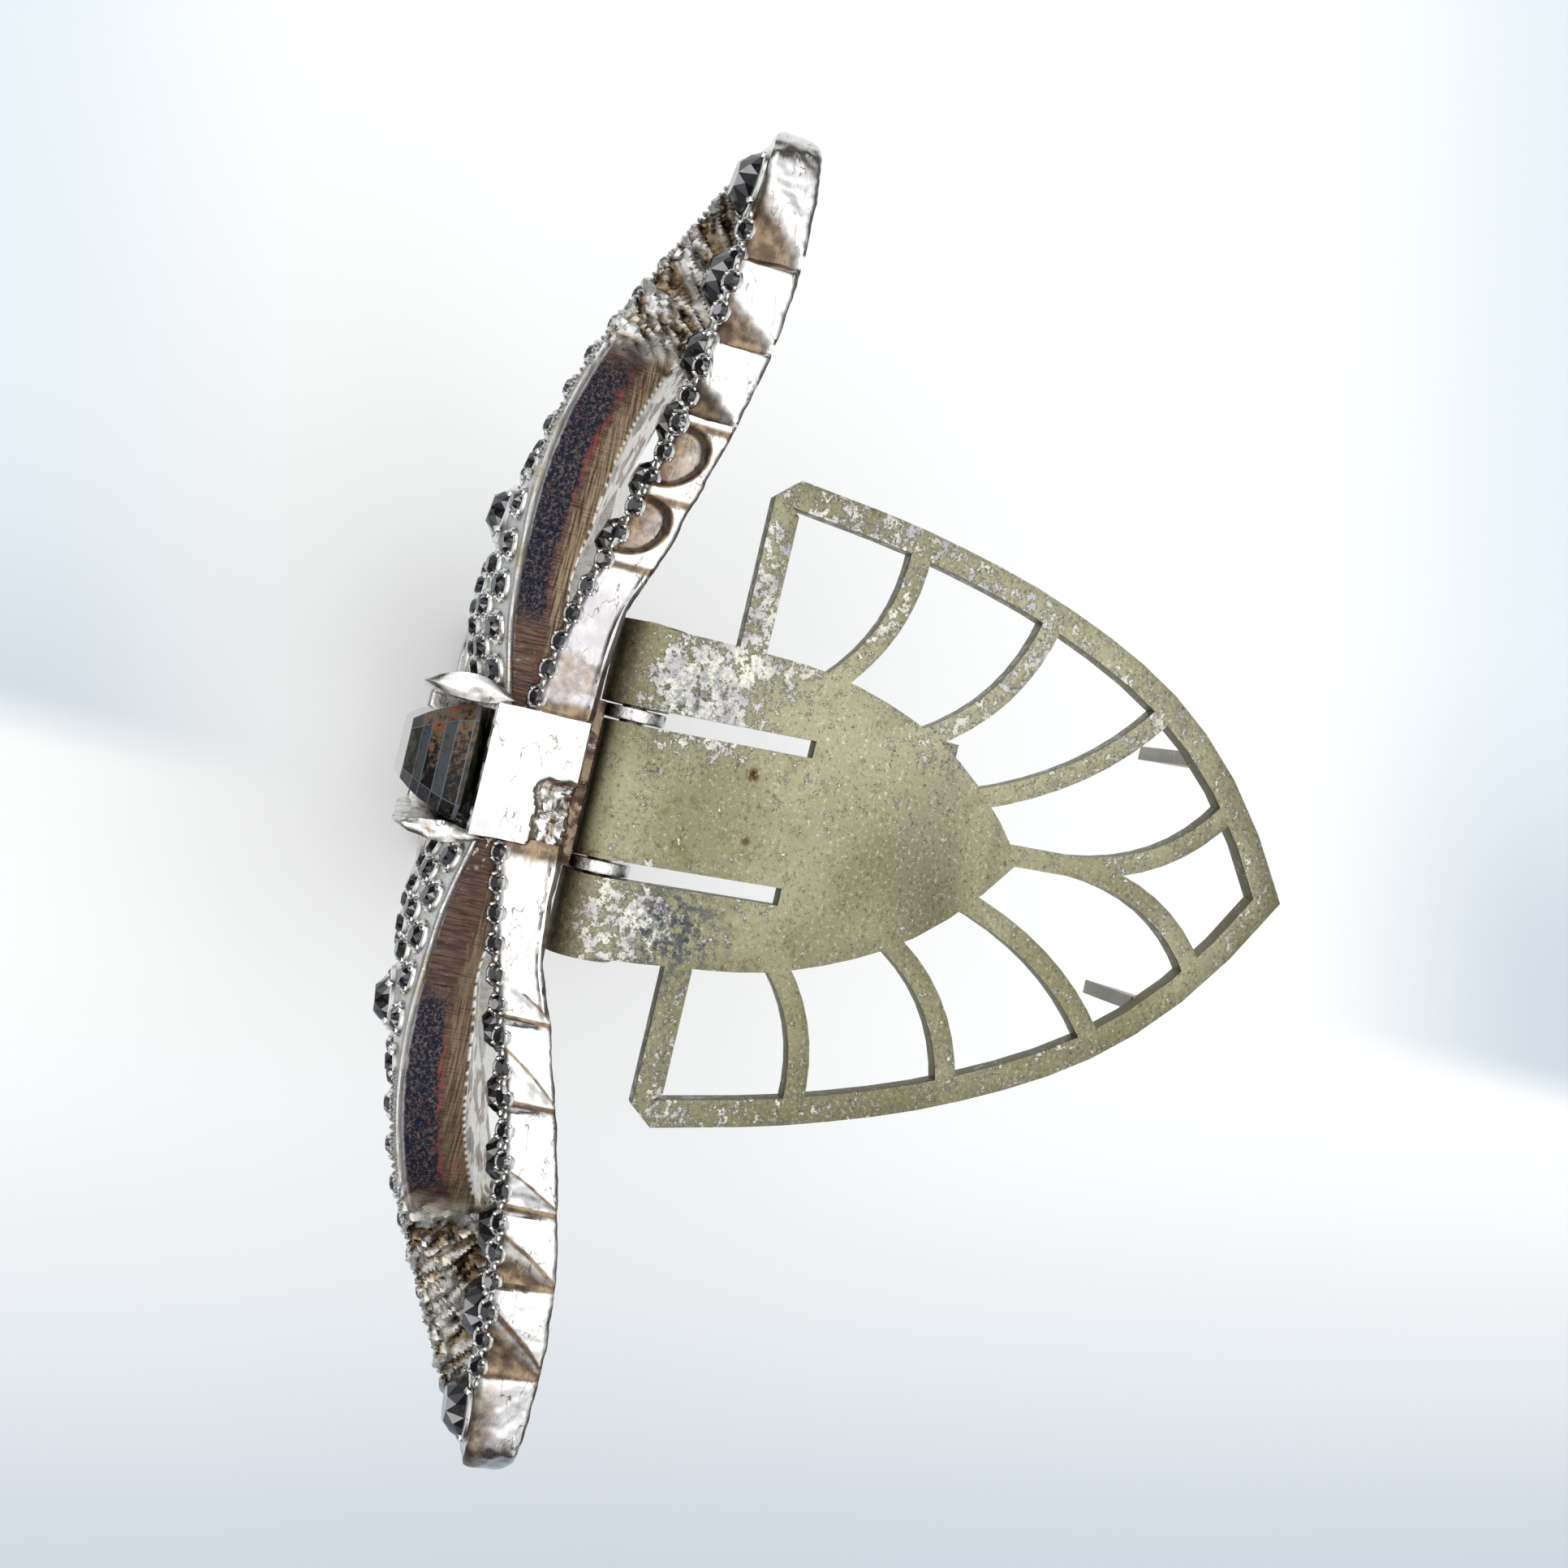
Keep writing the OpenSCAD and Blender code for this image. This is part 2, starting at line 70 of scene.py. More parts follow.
# Scalloped border: half-span, front edge, back edge, top
BORDER = (
    (2.3, -2.9, -0.60, 0.7),
    (6.5, -2.2, -0.42, 1.1),
    (8.9, -1.5, 0.35, 1.4),
    (11.7, -0.7, 1.10, 1.8),
    (14.5, -0.1, 1.85, 2.1),
    (17.6, 0.3, 2.50, 2.3),
    (20.9, 0.6, 2.85, 2.2),
    (24.3, 0.8, 2.85, 1.8),
    (27.0, 1.0, 2.70, 1.0),
)
# Half-spans between which the border's round stones sit
GROOVES = (8.3, 10.7, 13.0, 15.5, 18.3, 21.7, 26.2)
# Half-spans where one scallop ends and the next begins, on the left (-1) and right (1) wing
EDGES = {
    -1: (8.7, 11.4, 14.3, 17.45, 20.85, 26.2),
    1: (8.9, 11.95, 15.7, 18.4, 21.8, 26.2),
}
# Strips of the lower front: height, centre, half-width, front edge, back edge, height of the dome
TAIL = (
    (2.0, 5.6, 2.2, -1.3, 1.5, 0.5),
    (8.0, 8.2, 2.4, -1.2, 1.3, 0.8),
    (14.0, 10.6, 2.7, -1.3, 1.1, 1.0),
    (20.0, 12.0, 2.8, -1.7, 0.9, 1.0),
    (26.0, 12.6, 2.6, -2.2, 0.5, 0.8),
    (31.7, 12.7, 2.1, -2.4, -0.8, 0.2),
)
LEAF = (
    (5.0, 4.9, 0.7, -3.2, -1.5, 0.2),
    (10.0, 5.8, 1.1, -2.7, -0.9, 0.3),
    (15.0, 6.7, 1.9, -2.6, -0.9, 0.5),
    (20.0, 7.2, 2.2, -2.7, -0.9, 0.6),
    (25.0, 7.3, 1.8, -2.8, -1.1, 0.5),
    (31.5, 7.4, 1.1, -2.8, -1.8, 0.3),
)
KEEL = (
    (2.0, 0.0, 1.5, -3.3, 1.0, 0.4),
    (10.0, 0.0, 1.7, -3.4, 0.4, 0.6),
    (18.0, 0.0, 1.9, -3.7, -0.1, 0.8),
    (26.0, 0.0, 2.0, -4.0, -0.6, 0.6),
    (29.0, 0.0, 2.1, -4.1, -0.7, 0.4),
)
# Centre stone: depth, step in from its sides, step in from its ends, cut corners, and the tone
# of the facet that follows
STONE_STEPS = (
    (-4.40, 1.00, 1.00, 0.30, 0.0),
    (-4.72, 0.00, 0.00, 0.60, 0.36),
    (-4.90, 0.00, 0.00, 0.60, 0.5),
    (-5.45, 0.16, 0.22, 0.58, 1.0),
    (-5.85, 0.33, 0.46, 0.56, 0.5),
    (-6.30, 0.55, 0.78, 0.53, 1.0),
    (-6.60, 0.74, 1.02, 0.49, 0.1),
    (-7.00, 1.05, 1.50, 0.40, 0.2),
)
# Bare patches of the flap: across, along, inner and outer radius, and strength
FLAKED = (
    (-4.7, 3.6, 0.8, 4.2, 1.0), (4.6, 2.4, 0.8, 3.4, 0.80), (-8.5, 4.8, 2.0, 5.5, 0.72),
    (-12.3, 9.0, 2.0, 7.0, 0.60), (-9.0, 15.0, 2.0, 7.0, 0.60), (-6.0, 21.0, 2.0, 6.0, 0.50),
    (12.0, 5.5, 2.0, 6.0, 0.50), (12.0, 13.0, 2.0, 6.0, 0.22), (8.0, 20.0, 2.0, 7.0, 0.22),
    (-2.0, 26.0, 2.0, 6.0, 0.30),
)
# Studio round the clip: sine of the elevation, and colour; a dark room below a white tent
SKY = (
    (0.01, (0.10, 0.09, 0.085)),
    (0.30, (0.09, 0.08, 0.075)),
    (0.50, (0.36, 0.35, 0.34)),
    (0.72, (0.90, 0.92, 0.94)),
    (0.99, (0.97, 0.99, 1.00)),
)
SKY_STRENGTH = 1.06
# Lights: name, place and aim in metres, width, power, tint
LAMPS = (
    ("key", (0.0, 0.03, 0.45), (0, 0.03, 0.03), 0.60, 0.70, (1.0, 0.99, 0.98)),
    ("fill", (-0.40, -0.10, 0.30), (0, 0, 0.03), 0.30, 0.26, (0.93, 0.97, 1.0)),
    ("rim", (0.40, 0.25, 0.25), (0, 0, 0.03), 0.30, 0.22, (1.0, 0.98, 0.95)),
)
# Camera: place in millimetres, the photograph's right, the way back from it, and the lens
CAMERA_PLACE = (-1.94, -9.66, 97.6)
CAMERA_RIGHT = (-0.230, 0.935, 0.268)
CAMERA_BACK = (0.0, -0.275, 0.961)
CAMERA_LENS = 36.06

# Raised edge of a ribbon: its width, then how far behind the front edge, and height as a share
LIP_WIDTH = 0.34
LIP_SHAPE = ((0.26, 0.5), (0.20, 0.9), (0.12, 1.0), (0.05, 0.7), (0.0, 0.0))
# Cast relief near a wing's tip: half-spans between which it sets in, its grain, and the grain's
# turn in degrees
CAST_START = (14.8, 18.2)
CAST_GRAIN = (0.6, 2.9, 1.9)
CAST_TURN = 35
# Half-spans between which the brushed side gives way to it
STRIP_FADE = (16.0, 17.6)
# Rows along a wing, by half-span: the grains on the raised edge, and the border's small stones
LIP_GRAINS, LIP_GRAIN_COUNT = (11.6, 24.2), 42
EDGE_ROW, EDGE_ROW_LEAN = (3.0, 22.4), 50
# Lower front: rim of a strip, and a leaf's middle groove and veins
STRIP_RIM, LEAF_GROOVE, LEAF_VEIN = 0.16, 0.22, 0.10
# Rounds of the foot: centre, radius and depth
FOOT_ROUNDS = (
    ((4.9, -0.55, 3.0), 3.6, 5.7), ((-4.9, -0.55, 3.0), 3.6, 5.7), ((0, -0.45, 1.6), 2.0, 4.9),
)
# Front of the scrolls, and the height at which their undersides are cut flat
FOOT_FRONT, FOOT_CUT = -3.4, 0.005
# Coil on a scroll: turns, radius and wire from the outer end to the inner one, and the height
# below which it is left out
COIL_TURNS, COIL_RADII, COIL_WIRE, COIL_LOWEST = 1.75, (3.25, 0.35), (0.26, 0.16), 0.35
# Heights above the ground, the ends of the wings, and the depth and end of the border
FLAP_TOP, BLOCK_TOP = 38.0, 39.0
WING_START, RIBBON_END, BORDER_END = 2.3, 24.6, 26.4
BORDER_DEPTH, TIP_ROUNDING = 3.4, 1.1
# Radii of the round stones, the gap under them, and the place of the ribbon's large stone
SMALL_STONE, DOME_STONE, KEEL_STONE, EDGE_STONE = 0.5, 0.95, 0.75, 0.36
STONE_LIFT = 0.06
DOME_STONE_AT, DOME_STONE_DROP = 9.6, 3.0
# Block with its notch, claws beside it, and the centre stone
BLOCK_FRONT, BLOCK_BACK, BLOCK_HALF, BLOCK_DEPTH = -4.3, -0.65, 2.55, 13
NOTCH_DEPTH = 0.65
CLAW_HALF_LENGTH, CLAW_HALF_WIDTH, CLAW_AT, CLAW_DEPTH = 1.75, 0.36, -5.3, 12.4
CLAW_ASIDE, CLAW_CROWN, CLAW_DROOP, CLAW_TAPER = 2.62, 0.13, 0.30, 0.36
LEDGE_SIZE, LEDGE_CENTRE = (5.1, 1.9, 1.6), (0, -5.2, BLOCK_TOP - 12.2)
STONE_HALF_WIDTH, STONE_HALF_HEIGHT, STONE_MIDDLE = 2.2, 5.2, BLOCK_TOP - 5.4
# Hinge: the flap's shift to the left, the bracket, the pin, and the ears that hold it
FLAP_SHIFT = -0.2
BRACKET_SIZE, BRACKET_CENTRE = (6.5, 0.63, 5.4), (FLAP_SHIFT, -0.435, FLAP_TOP - 3.0)
PIN_Y, PIN_Z, PIN_RADIUS, PIN_LENGTH = 1.15, FLAP_TOP - 1.35, 0.5, 13.4
EAR_AT, EAR_WIDTH, EAR_RADIUS = 3.0, 0.5, 1.3
EAR_ROOT, EAR_ROOT_Y, EAR_ROOT_DROP = (EAR_WIDTH, 1.9, 2.6), 0.2, 1.1
# Flap: depth below its top, and distance from the hinge, past which its metal is a tooth
TOOTH_BELOW, TOOTH_PAST = 1.1, 8.0
FLOOR_HALF = 1.5  # metres


# Shape helpers


def curve(table, column, at):
    """Smooth curve through one column of a table, against its first column."""
    last = len(table) - 2
    row = 0
    while row < last and at >= table[row + 1][0]:
        row += 1

    def slope(i):
        a, b = max(i - 1, 0), min(i + 1, len(table) - 1)
        return (table[b][column] - table[a][column]) / (table[b][0] - table[a][0])

    step = table[row + 1][0] - table[row][0]
    t = (at - table[row][0]) / step
    low, high = table[row][column], table[row + 1][column]
    return (
        low * (2 * t**3 - 3 * t**2 + 1)
        + slope(row) * step * (t**3 - 2 * t**2 + t)
        + high * (3 * t**2 - 2 * t**3)
        + slope(row + 1) * step * (t**3 - t**2)
    )


def blend(low, high, t):
    return low + (high - low) * t


def ease(low, high, value):
    """0 at low, 1 at high, and smooth between them; low may be the larger of the two."""
    t = min(max((value - low) / (high - low), 0.0), 1.0)
    return t * t * (3 - 2 * t)


def bell(offset, width):
    """1 at no offset, falling off smoothly within about twice the width."""
    return math.exp(-((offset / width) ** 2))


def rounding(inside, radius):
    """How far a rounded edge lies below its face, at a distance inside the outline."""
    past = min(max(1 - inside / radius, 0.0), 1.0)
    return radius * (1 - math.sqrt(1 - past**2))


def steps(low, high, count):
    return [blend(low, high, i / count) for i in range(count + 1)]


def cloud(x, y, z, fall=0.7, spacing=2.1, octaves=3):
    """Seamless patchy noise, about 0 in the mean."""
    return noise.fractal(Vector((x, y, z)), fall, spacing, octaves)


def extend(points, end, count):
    """Adds evenly spaced points from the last one to end."""
    start, end = points[-1], Vector(end)
    points += [start.lerp(end, i / count) for i in range(1, count + 1)]


def close(points, low, down, under):
    """Takes a profile of the top down to a height and back to its start."""
    x, front, back = points[0].x, points[0].y, points[-1].y
    extend(points, (x, back, low), down)
    extend(points, (x, front, low), under)
    extend(points, points[0], down)
    return points


def layered(*names):
    """New mesh with its own vertex layers."""
    bm = bmesh.new()
    for name in names:
        bm.verts.layers.float.new(name)
    return bm, *(bm.verts.layers.float[name] for name in names)


def loft(bm, rings):
    """Closed solid through rings of points; each ring ends where it starts."""
    along, around = len(rings) - 1, len(rings[0]) - 1
    grid = bmesh.ops.create_grid(bm, x_segments=along, y_segments=around, size=0.5)
    for v in grid["verts"]:
        i, k = round((v.co.x + 0.5) * along), round((v.co.y + 0.5) * around)
        v.co = rings[i][k]
    bmesh.ops.remove_doubles(bm, verts=grid["verts"], dist=1e-5)
    rims = [e for e in bm.edges if e.is_boundary]
    bmesh.ops.holes_fill(bm, edges=rims, sides=0)
    bmesh.ops.recalc_face_normals(bm, faces=bm.faces)
    return bm


def box(bm, size, centre):
    made = bmesh.ops.create_cube(bm, size=1.0)["verts"]
    bmesh.ops.scale(bm, vec=size, verts=made)
    bmesh.ops.translate(bm, vec=centre, verts=made)


def rod(bm, radius, depth, place, segments):
    bmesh.ops.create_cone(
        bm, cap_ends=True, segments=segments, radius1=radius, radius2=radius, depth=depth,
        matrix=place,
    )


def bevel(bm, edges, offset, segments, clamp=False):
    bmesh.ops.bevel(
        bm, geom=edges, offset=offset, segments=segments, affect="EDGES", profile=0.5,
        material=-1, clamp_overlap=clamp,
    )


def corners(bm, angle=1.2):
    return [e for e in bm.edges if len(e.link_faces) == 2 and e.calc_face_angle() > angle]


def to_mesh(bm, name="pattern", finish=None):
    """Turns a finished bmesh into a mesh, with its material if it has one."""
    mesh = bpy.data.meshes.new(name)
    bm.to_mesh(mesh)
    bm.free()
    if finish:
        mesh.materials.append(finished(finish))
    return mesh


def ball(radius, subdivisions):
    bm = bmesh.new()
    bmesh.ops.create_icosphere(bm, subdivisions=subdivisions, radius=radius)
    return to_mesh(bm)


def add_copies(bm, pattern, places):
    """Puts a copy of the mesh pattern at each matrix."""
    for place in places:
        known = len(bm.verts)
        bm.from_mesh(pattern)
        bm.verts.ensure_lookup_table()
        bmesh.ops.transform(bm, matrix=place, verts=bm.verts[known:])
    bpy.data.meshes.remove(pattern)
    return bm


def mirror_over(bm, side):
    """Turns a right-hand piece into a left-hand one."""
    if side < 0:
        bmesh.ops.transform(bm, matrix=Matrix.Diagonal((-1, 1, 1, 1)), verts=bm.verts)
        bmesh.ops.reverse_faces(bm, faces=bm.faces)
    return bm


def roughen(bm, depth, grain, seed, where=None, tone=None, turn=0.0):
    """Pushes the surface in and out along its normals, like cast metal."""
    turned = Matrix.Rotation(math.radians(turn), 3, "Z")
    shift = Vector((seed * 7.3, seed * 3.1, seed * 5.7))
    bm.normal_update()
    moves = []
    for v in bm.verts:
        share = where(v.co) if where else 1.0
        wave = cloud(*((turned @ v.co) * Vector(grain) + shift)) if share > 0 else 0.0
        moves.append(v.normal * depth * share * wave)
        if tone and share > 0:
            v[tone] = max(v[tone], share * min(max(0.5 - wave, 0.0), 1.0))
    for v, move in zip(bm.verts, moves):
        v.co += move


def new_object(name, data):
    made = bpy.data.objects.new(name, data)
    bpy.context.scene.collection.objects.link(made)
    return made


def piece(bm, name, finish, body="clip", nodes=(), sharp=35.0):
    """Makes the finished object, in metres, and ties it to its body."""
    bmesh.ops.scale(bm, vec=Vector((METRE,) * 3), verts=bm.verts)
    mesh = to_mesh(bm, name, finish)
    if sharp:
        mesh.shade_smooth()
        mesh.set_sharp_from_angle(angle=math.radians(sharp))
    made = new_object(name, mesh)
    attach(made, body)
    if nodes:
        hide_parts(*nodes)
    return made


# Forms shared by several pieces


def ribbon_top(x):
    return FLAP_TOP + curve(RIBBON, 3, x)


def ribbon_low(x):
    return FLAP_TOP + curve(RIBBON, 4, x)


def ribbon_face(x, z):
    across = (ribbon_top(x) - z) / (ribbon_top(x) - ribbon_low(x))
    bulge = curve(RIBBON, 5, x) * math.sin(math.pi * across)
    return curve(RIBBON, 1, x) - bulge + curve(RIBBON, 6, x) * across


def strip_face(table, x, z):
    width = curve(table, 2, z)
    across = (x - curve(table, 1, z) + width) / (2 * width)
    return curve(table, 3, z) - curve(table, 5, z) * math.sin(math.pi * across)


def border_top(x):
    return FLAP_TOP + curve(BORDER, 3, x)


def border_face(x, z):
    return curve(BORDER, 1, x)


def on_face(face, x, z):
    """Matrix of a seat on a front face, its Z axis pointing out of the metal."""
    e = 0.1  # the face's slope is taken over this much to either side
    normal = Vector((
        (face(x + e, z) - face(x - e, z)) / (2 * e),
        -1.0,
        (face(x, z + e) - face(x, z - e)) / (2 * e),
    )).normalized()
    turn = normal.to_track_quat("Z", "Y").to_matrix().to_4x4()
    return Matrix.Translation((x, face(x, z), z)) @ turn


def dome_seat():
    """Place of the large stone on a wing."""
    return DOME_STONE_AT, ribbon_top(DOME_STONE_AT) - DOME_STONE_DROP


def wing_seats():
    """Places of the small stones on a wing, in staggered rows round the large stone."""
    start, pitch, spare, rim = 3.65, 1.55, 0.12, SMALL_STONE + 0.1
    seats = []
    for row in range(5):
        for k in range(12):
            x = start + pitch * (k + (row % 2) / 2)
            z = ribbon_top(x) - rim - 0.15 - pitch * 0.9 * row
            clear = math.dist((x, z), dome_seat()) > DOME_STONE + SMALL_STONE + spare
            if z > ribbon_low(x) + rim and clear:
                seats.append((x, z))
    return seats


def strip_seats(table, start, count, rows, radius):
    """Places of the small stones down a strip, in staggered rows."""
    pitch = 2 * radius + 0.35
    seats = []
    for row in range(rows):
        for k in range(count):
            z = start + (k + (row % 2) / 2) * pitch
            seats.append((curve(table, 1, z) + (row - (rows - 1) / 2) * 0.92 * pitch, z))
    return seats


def cut_stone(radius):
    """Round stone with a table, eight main facets and sixteen smaller ones."""
    bm = bmesh.new()
    rings = (
        (16, 1.0, 0.0, 0.0), (16, 1.0, 0.12, 0.0), (8, 0.82, 0.40, 0.5), (8, 0.56, 0.67, 0.0),
    )
    for count, wide, high, turn in rings:
        made = bmesh.ops.create_circle(bm, segments=count, radius=radius * wide)["verts"]
        turned = Matrix.Rotation(turn * math.tau / count, 3, "Z")
        bmesh.ops.rotate(bm, verts=made, matrix=turned)
        bmesh.ops.translate(bm, verts=made, vec=(0, 0, high * radius))
    bmesh.ops.convex_hull(bm, input=bm.verts)
    loose = [e for e in bm.edges if not e.link_faces]
    bmesh.ops.delete(bm, geom=loose, context="EDGES")
    bmesh.ops.dissolve_limit(bm, angle_limit=0.01, verts=bm.verts, edges=bm.edges)
    bmesh.ops.recalc_face_normals(bm, faces=bm.faces)
    return to_mesh(bm)


def setting(radius, wire):
    """Raised ring of metal round a stone, with four prongs."""
    bm = bmesh.new()
    ring = bmesh.ops.create_circle(bm, segments=8, radius=wire)["verts"]
    bmesh.ops.rotate(bm, verts=ring, matrix=Matrix.Rotation(math.pi / 2, 3, "X"))
    bmesh.ops.translate(bm, verts=ring, vec=(radius + wire * 0.55, 0, wire * 0.1))
    bmesh.ops.spin(
        bm, geom=list(bm.edges) + ring, cent=(0, 0, 0), axis=(0, 0, 1),
        angle=math.tau, steps=20, use_merge=True,
    )
    for k in range(4):
        made = bmesh.ops.create_icosphere(bm, subdivisions=1, radius=wire * 1.25)["verts"]
        a, out = math.radians(45 + 90 * k), radius + wire * 0.3
        bmesh.ops.translate(bm, verts=made, vec=(math.cos(a) * out, math.sin(a) * out, wire))
    bmesh.ops.recalc_face_normals(bm, faces=bm.faces)
    return to_mesh(bm)


def glints(bm):
    """Gives each facet its own share of light."""
    layer = bm.faces.layers.float.new("glint")
    luck = random.Random(len(bm.faces))
    for face in bm.faces:
        face[layer] = luck.random()


# What the finishes are made of


def put(tree, kind, sockets=None, **settings):
    """Adds a shader node; a socket given a Wear is joined, any other value is set."""
    made = tree.nodes.new(kind)
    for name, value in settings.items():
        setattr(made, name, value)
    for name, value in (sockets or {}).items():
        if isinstance(value, Wear):
            tree.links.new(value.socket, made.inputs[name])
        else:
            made.inputs[name].default_value = value
    return made


class Wear:
    """A pattern of wear or colour over a finish; arithmetic with it adds shader nodes."""

    def __init__(self, socket):
        self.socket = socket

    def combine(self, operation, a, b):
        tree = self.socket.id_data
        return Wear(put(tree, "ShaderNodeMath", {0: a, 1: b}, operation=operation).outputs[0])

    def __add__(self, other):
        return self.combine("ADD", self, other)

    def __sub__(self, other):
        return self.combine("SUBTRACT", self, other)

    def __rsub__(self, other):
        return self.combine("SUBTRACT", other, self)

    def __mul__(self, other):
        return self.combine("MULTIPLY", self, other)

    def __abs__(self):
        return self.combine("ABSOLUTE", self, 0.0)

    def max(self, other):
        return self.combine("MAXIMUM", self, other)

    def level(self, low, high, start=0.0, end=1.0):
        """start up to low, end from high, and smooth between them."""
        sockets = {
            "Value": self, "From Min": low, "From Max": high, "To Min": start, "To Max": end
        }
        tree = self.socket.id_data
        made = put(tree, "ShaderNodeMapRange", sockets, interpolation_type="SMOOTHSTEP")
        return Wear(made.outputs["Result"])


class Finish:
    """One procedural material, measured in millimetres on the object."""

    def __init__(self, name, **shader):
        material = bpy.data.materials.new(name)
        material.use_nodes = True
        self.tree = material.node_tree
        self.shader = self.tree.nodes["Principled BSDF"]
        for socket, value in shader.items():
            self.shader.inputs[socket.replace("_", " ")].default_value = value
        where = self.add("ShaderNodeTexCoord", "Object")
        sockets = {"Vector": where, "Scale": (1 / METRE,) * 3}
        self.spot = self.add("ShaderNodeMapping", "Vector", sockets)

    def add(self, kind, output, sockets=None, **settings):
        return Wear(put(self.tree, kind, sockets, **settings).outputs[output])

    def stretch(self, x, y, z, turn=0.0):
        sockets = {"Vector": self.spot, "Scale": (x, y, z), "Rotation": (0, 0, math.radians(turn))}
        return self.add("ShaderNodeMapping", "Vector", sockets)

    def noise(self, scale, detail=4.0, rough=0.55, at=None):
        sockets = {
            "Vector": at or self.spot, "Scale": scale, "Detail": detail, "Roughness": rough
        }
        return self.add("ShaderNodeTexNoise", "Fac", sockets)

    def near(self, x, y, inner, outer):
        """1 within inner millimetres of a point on the flap, 0 beyond outer."""
        sockets = {0: self.spot, 1: (x, y, FLAP_TOP)}
        away = self.add("ShaderNodeVectorMath", "Value", sockets, operation="DISTANCE")
        return away.level(inner, outer, 1.0, 0.0)

    def patches(self, *spots):
        """Strongest of several patches: across, along, inner and outer radius, and strength."""
        return reduce(Wear.max, (self.near(*spot) * strength for *spot, strength in spots))

    def mix(self, share, a, b):
        a, b = (v if isinstance(v, Wear) else (*v, 1.0) for v in (a, b))
        return self.add("ShaderNodeMix", 2, {0: share, 6: a, 7: b}, data_type="RGBA")

    def coats(self, paint, *coats):
        """Lays coats over a colour, each by its share."""
        for share, coat in coats:
            paint = self.mix(share, paint, coat)
        return paint

    def axis(self, name):
        return self.add("ShaderNodeSeparateXYZ", name, {0: self.spot})

    def reads(self, attribute):
        return self.add("ShaderNodeAttribute", "Fac", attribute_name=attribute)

    def apply(self, paint, relief, strength, depth, rough=None):
        """Joins the colour, the relief and the roughness to the shader."""
        sockets = {"Height": relief, "Strength": strength, "Distance": depth * METRE}
        normal = self.add("ShaderNodeBump", "Normal", sockets)
        for socket, value in (("Base Color", paint), ("Normal", normal), ("Roughness", rough)):
            if value:
                self.tree.links.new(value.socket, self.shader.inputs[socket])


def sizes():
    return bpy.context.scene.clip_sizes


def mm(length):
    """Length property, which is in metres, in millimetres."""
    return length / METRE


# The finishes themselves


def bright_plate(name, c, cloud=0.25):
    """Mirror plating with yellowed clouds, hairlines, a lilac layer and brown in its grooves; the
    lilac on the block and the brown in the border's scoops are painted shade.
    """
    f = Finish(name, Metallic=1.0)
    # Lilac layer: dull plating on the borders, painted shade on the block's lower front corner
    veil_and_shade = f.reads("veil_and_shade") * f.noise(1.3, 5.0, 0.6).level(0.30, 0.62, 0.55, 1.0)
    # Brown in the grooves: aged metal, and painted shade in the border's scoops
    worn = (f.reads("recess") + f.noise(2.6, 6.0, 0.65) * 0.5).level(0.42, 0.98)
    brown = f.coats(
        c.aged,
        (f.noise(1.5, 5.0, 0.6).level(0.40, 0.62), c.bronze),
        (f.noise(2.1).level(0.60, 0.68, 0.0, 0.45), c.red_wear),
    )
    lines = f.noise(2.0, 3.0, at=f.stretch(0.5, 16.0, 3.0, 24))
    path = abs(f.noise(0.9, 3.0, at=f.stretch(0.5, 1.3, 1.0, -35)) - 0.5)
    hair = path.level(0.002, 0.010, 0.8, 0.0) * f.noise(0.7, 2.0).level(0.42, 0.55)
    marks = f.noise(7.0, 3.0).level(0.70, 0.76, 0.0, 0.5)
    marks = marks.max(lines.level(0.66, 0.70, 0.0, 0.45).max(hair))
    metal = f.coats(
        c.plate,
        (f.noise(0.55, 3.0).level(0.50, 0.72, 0.0, cloud), c.yellowed),
        (veil_and_shade, c.lilac),
        (worn, brown),
        (marks, c.aged),
    )
    relief = f.noise(0.9, 3.0, 0.5) * 1.4 + lines * 0.25
    f.apply(metal, relief, 0.40, 0.06, (lines * 0.5 + worn).level(0.2, 1.2, 0.13, 0.36))


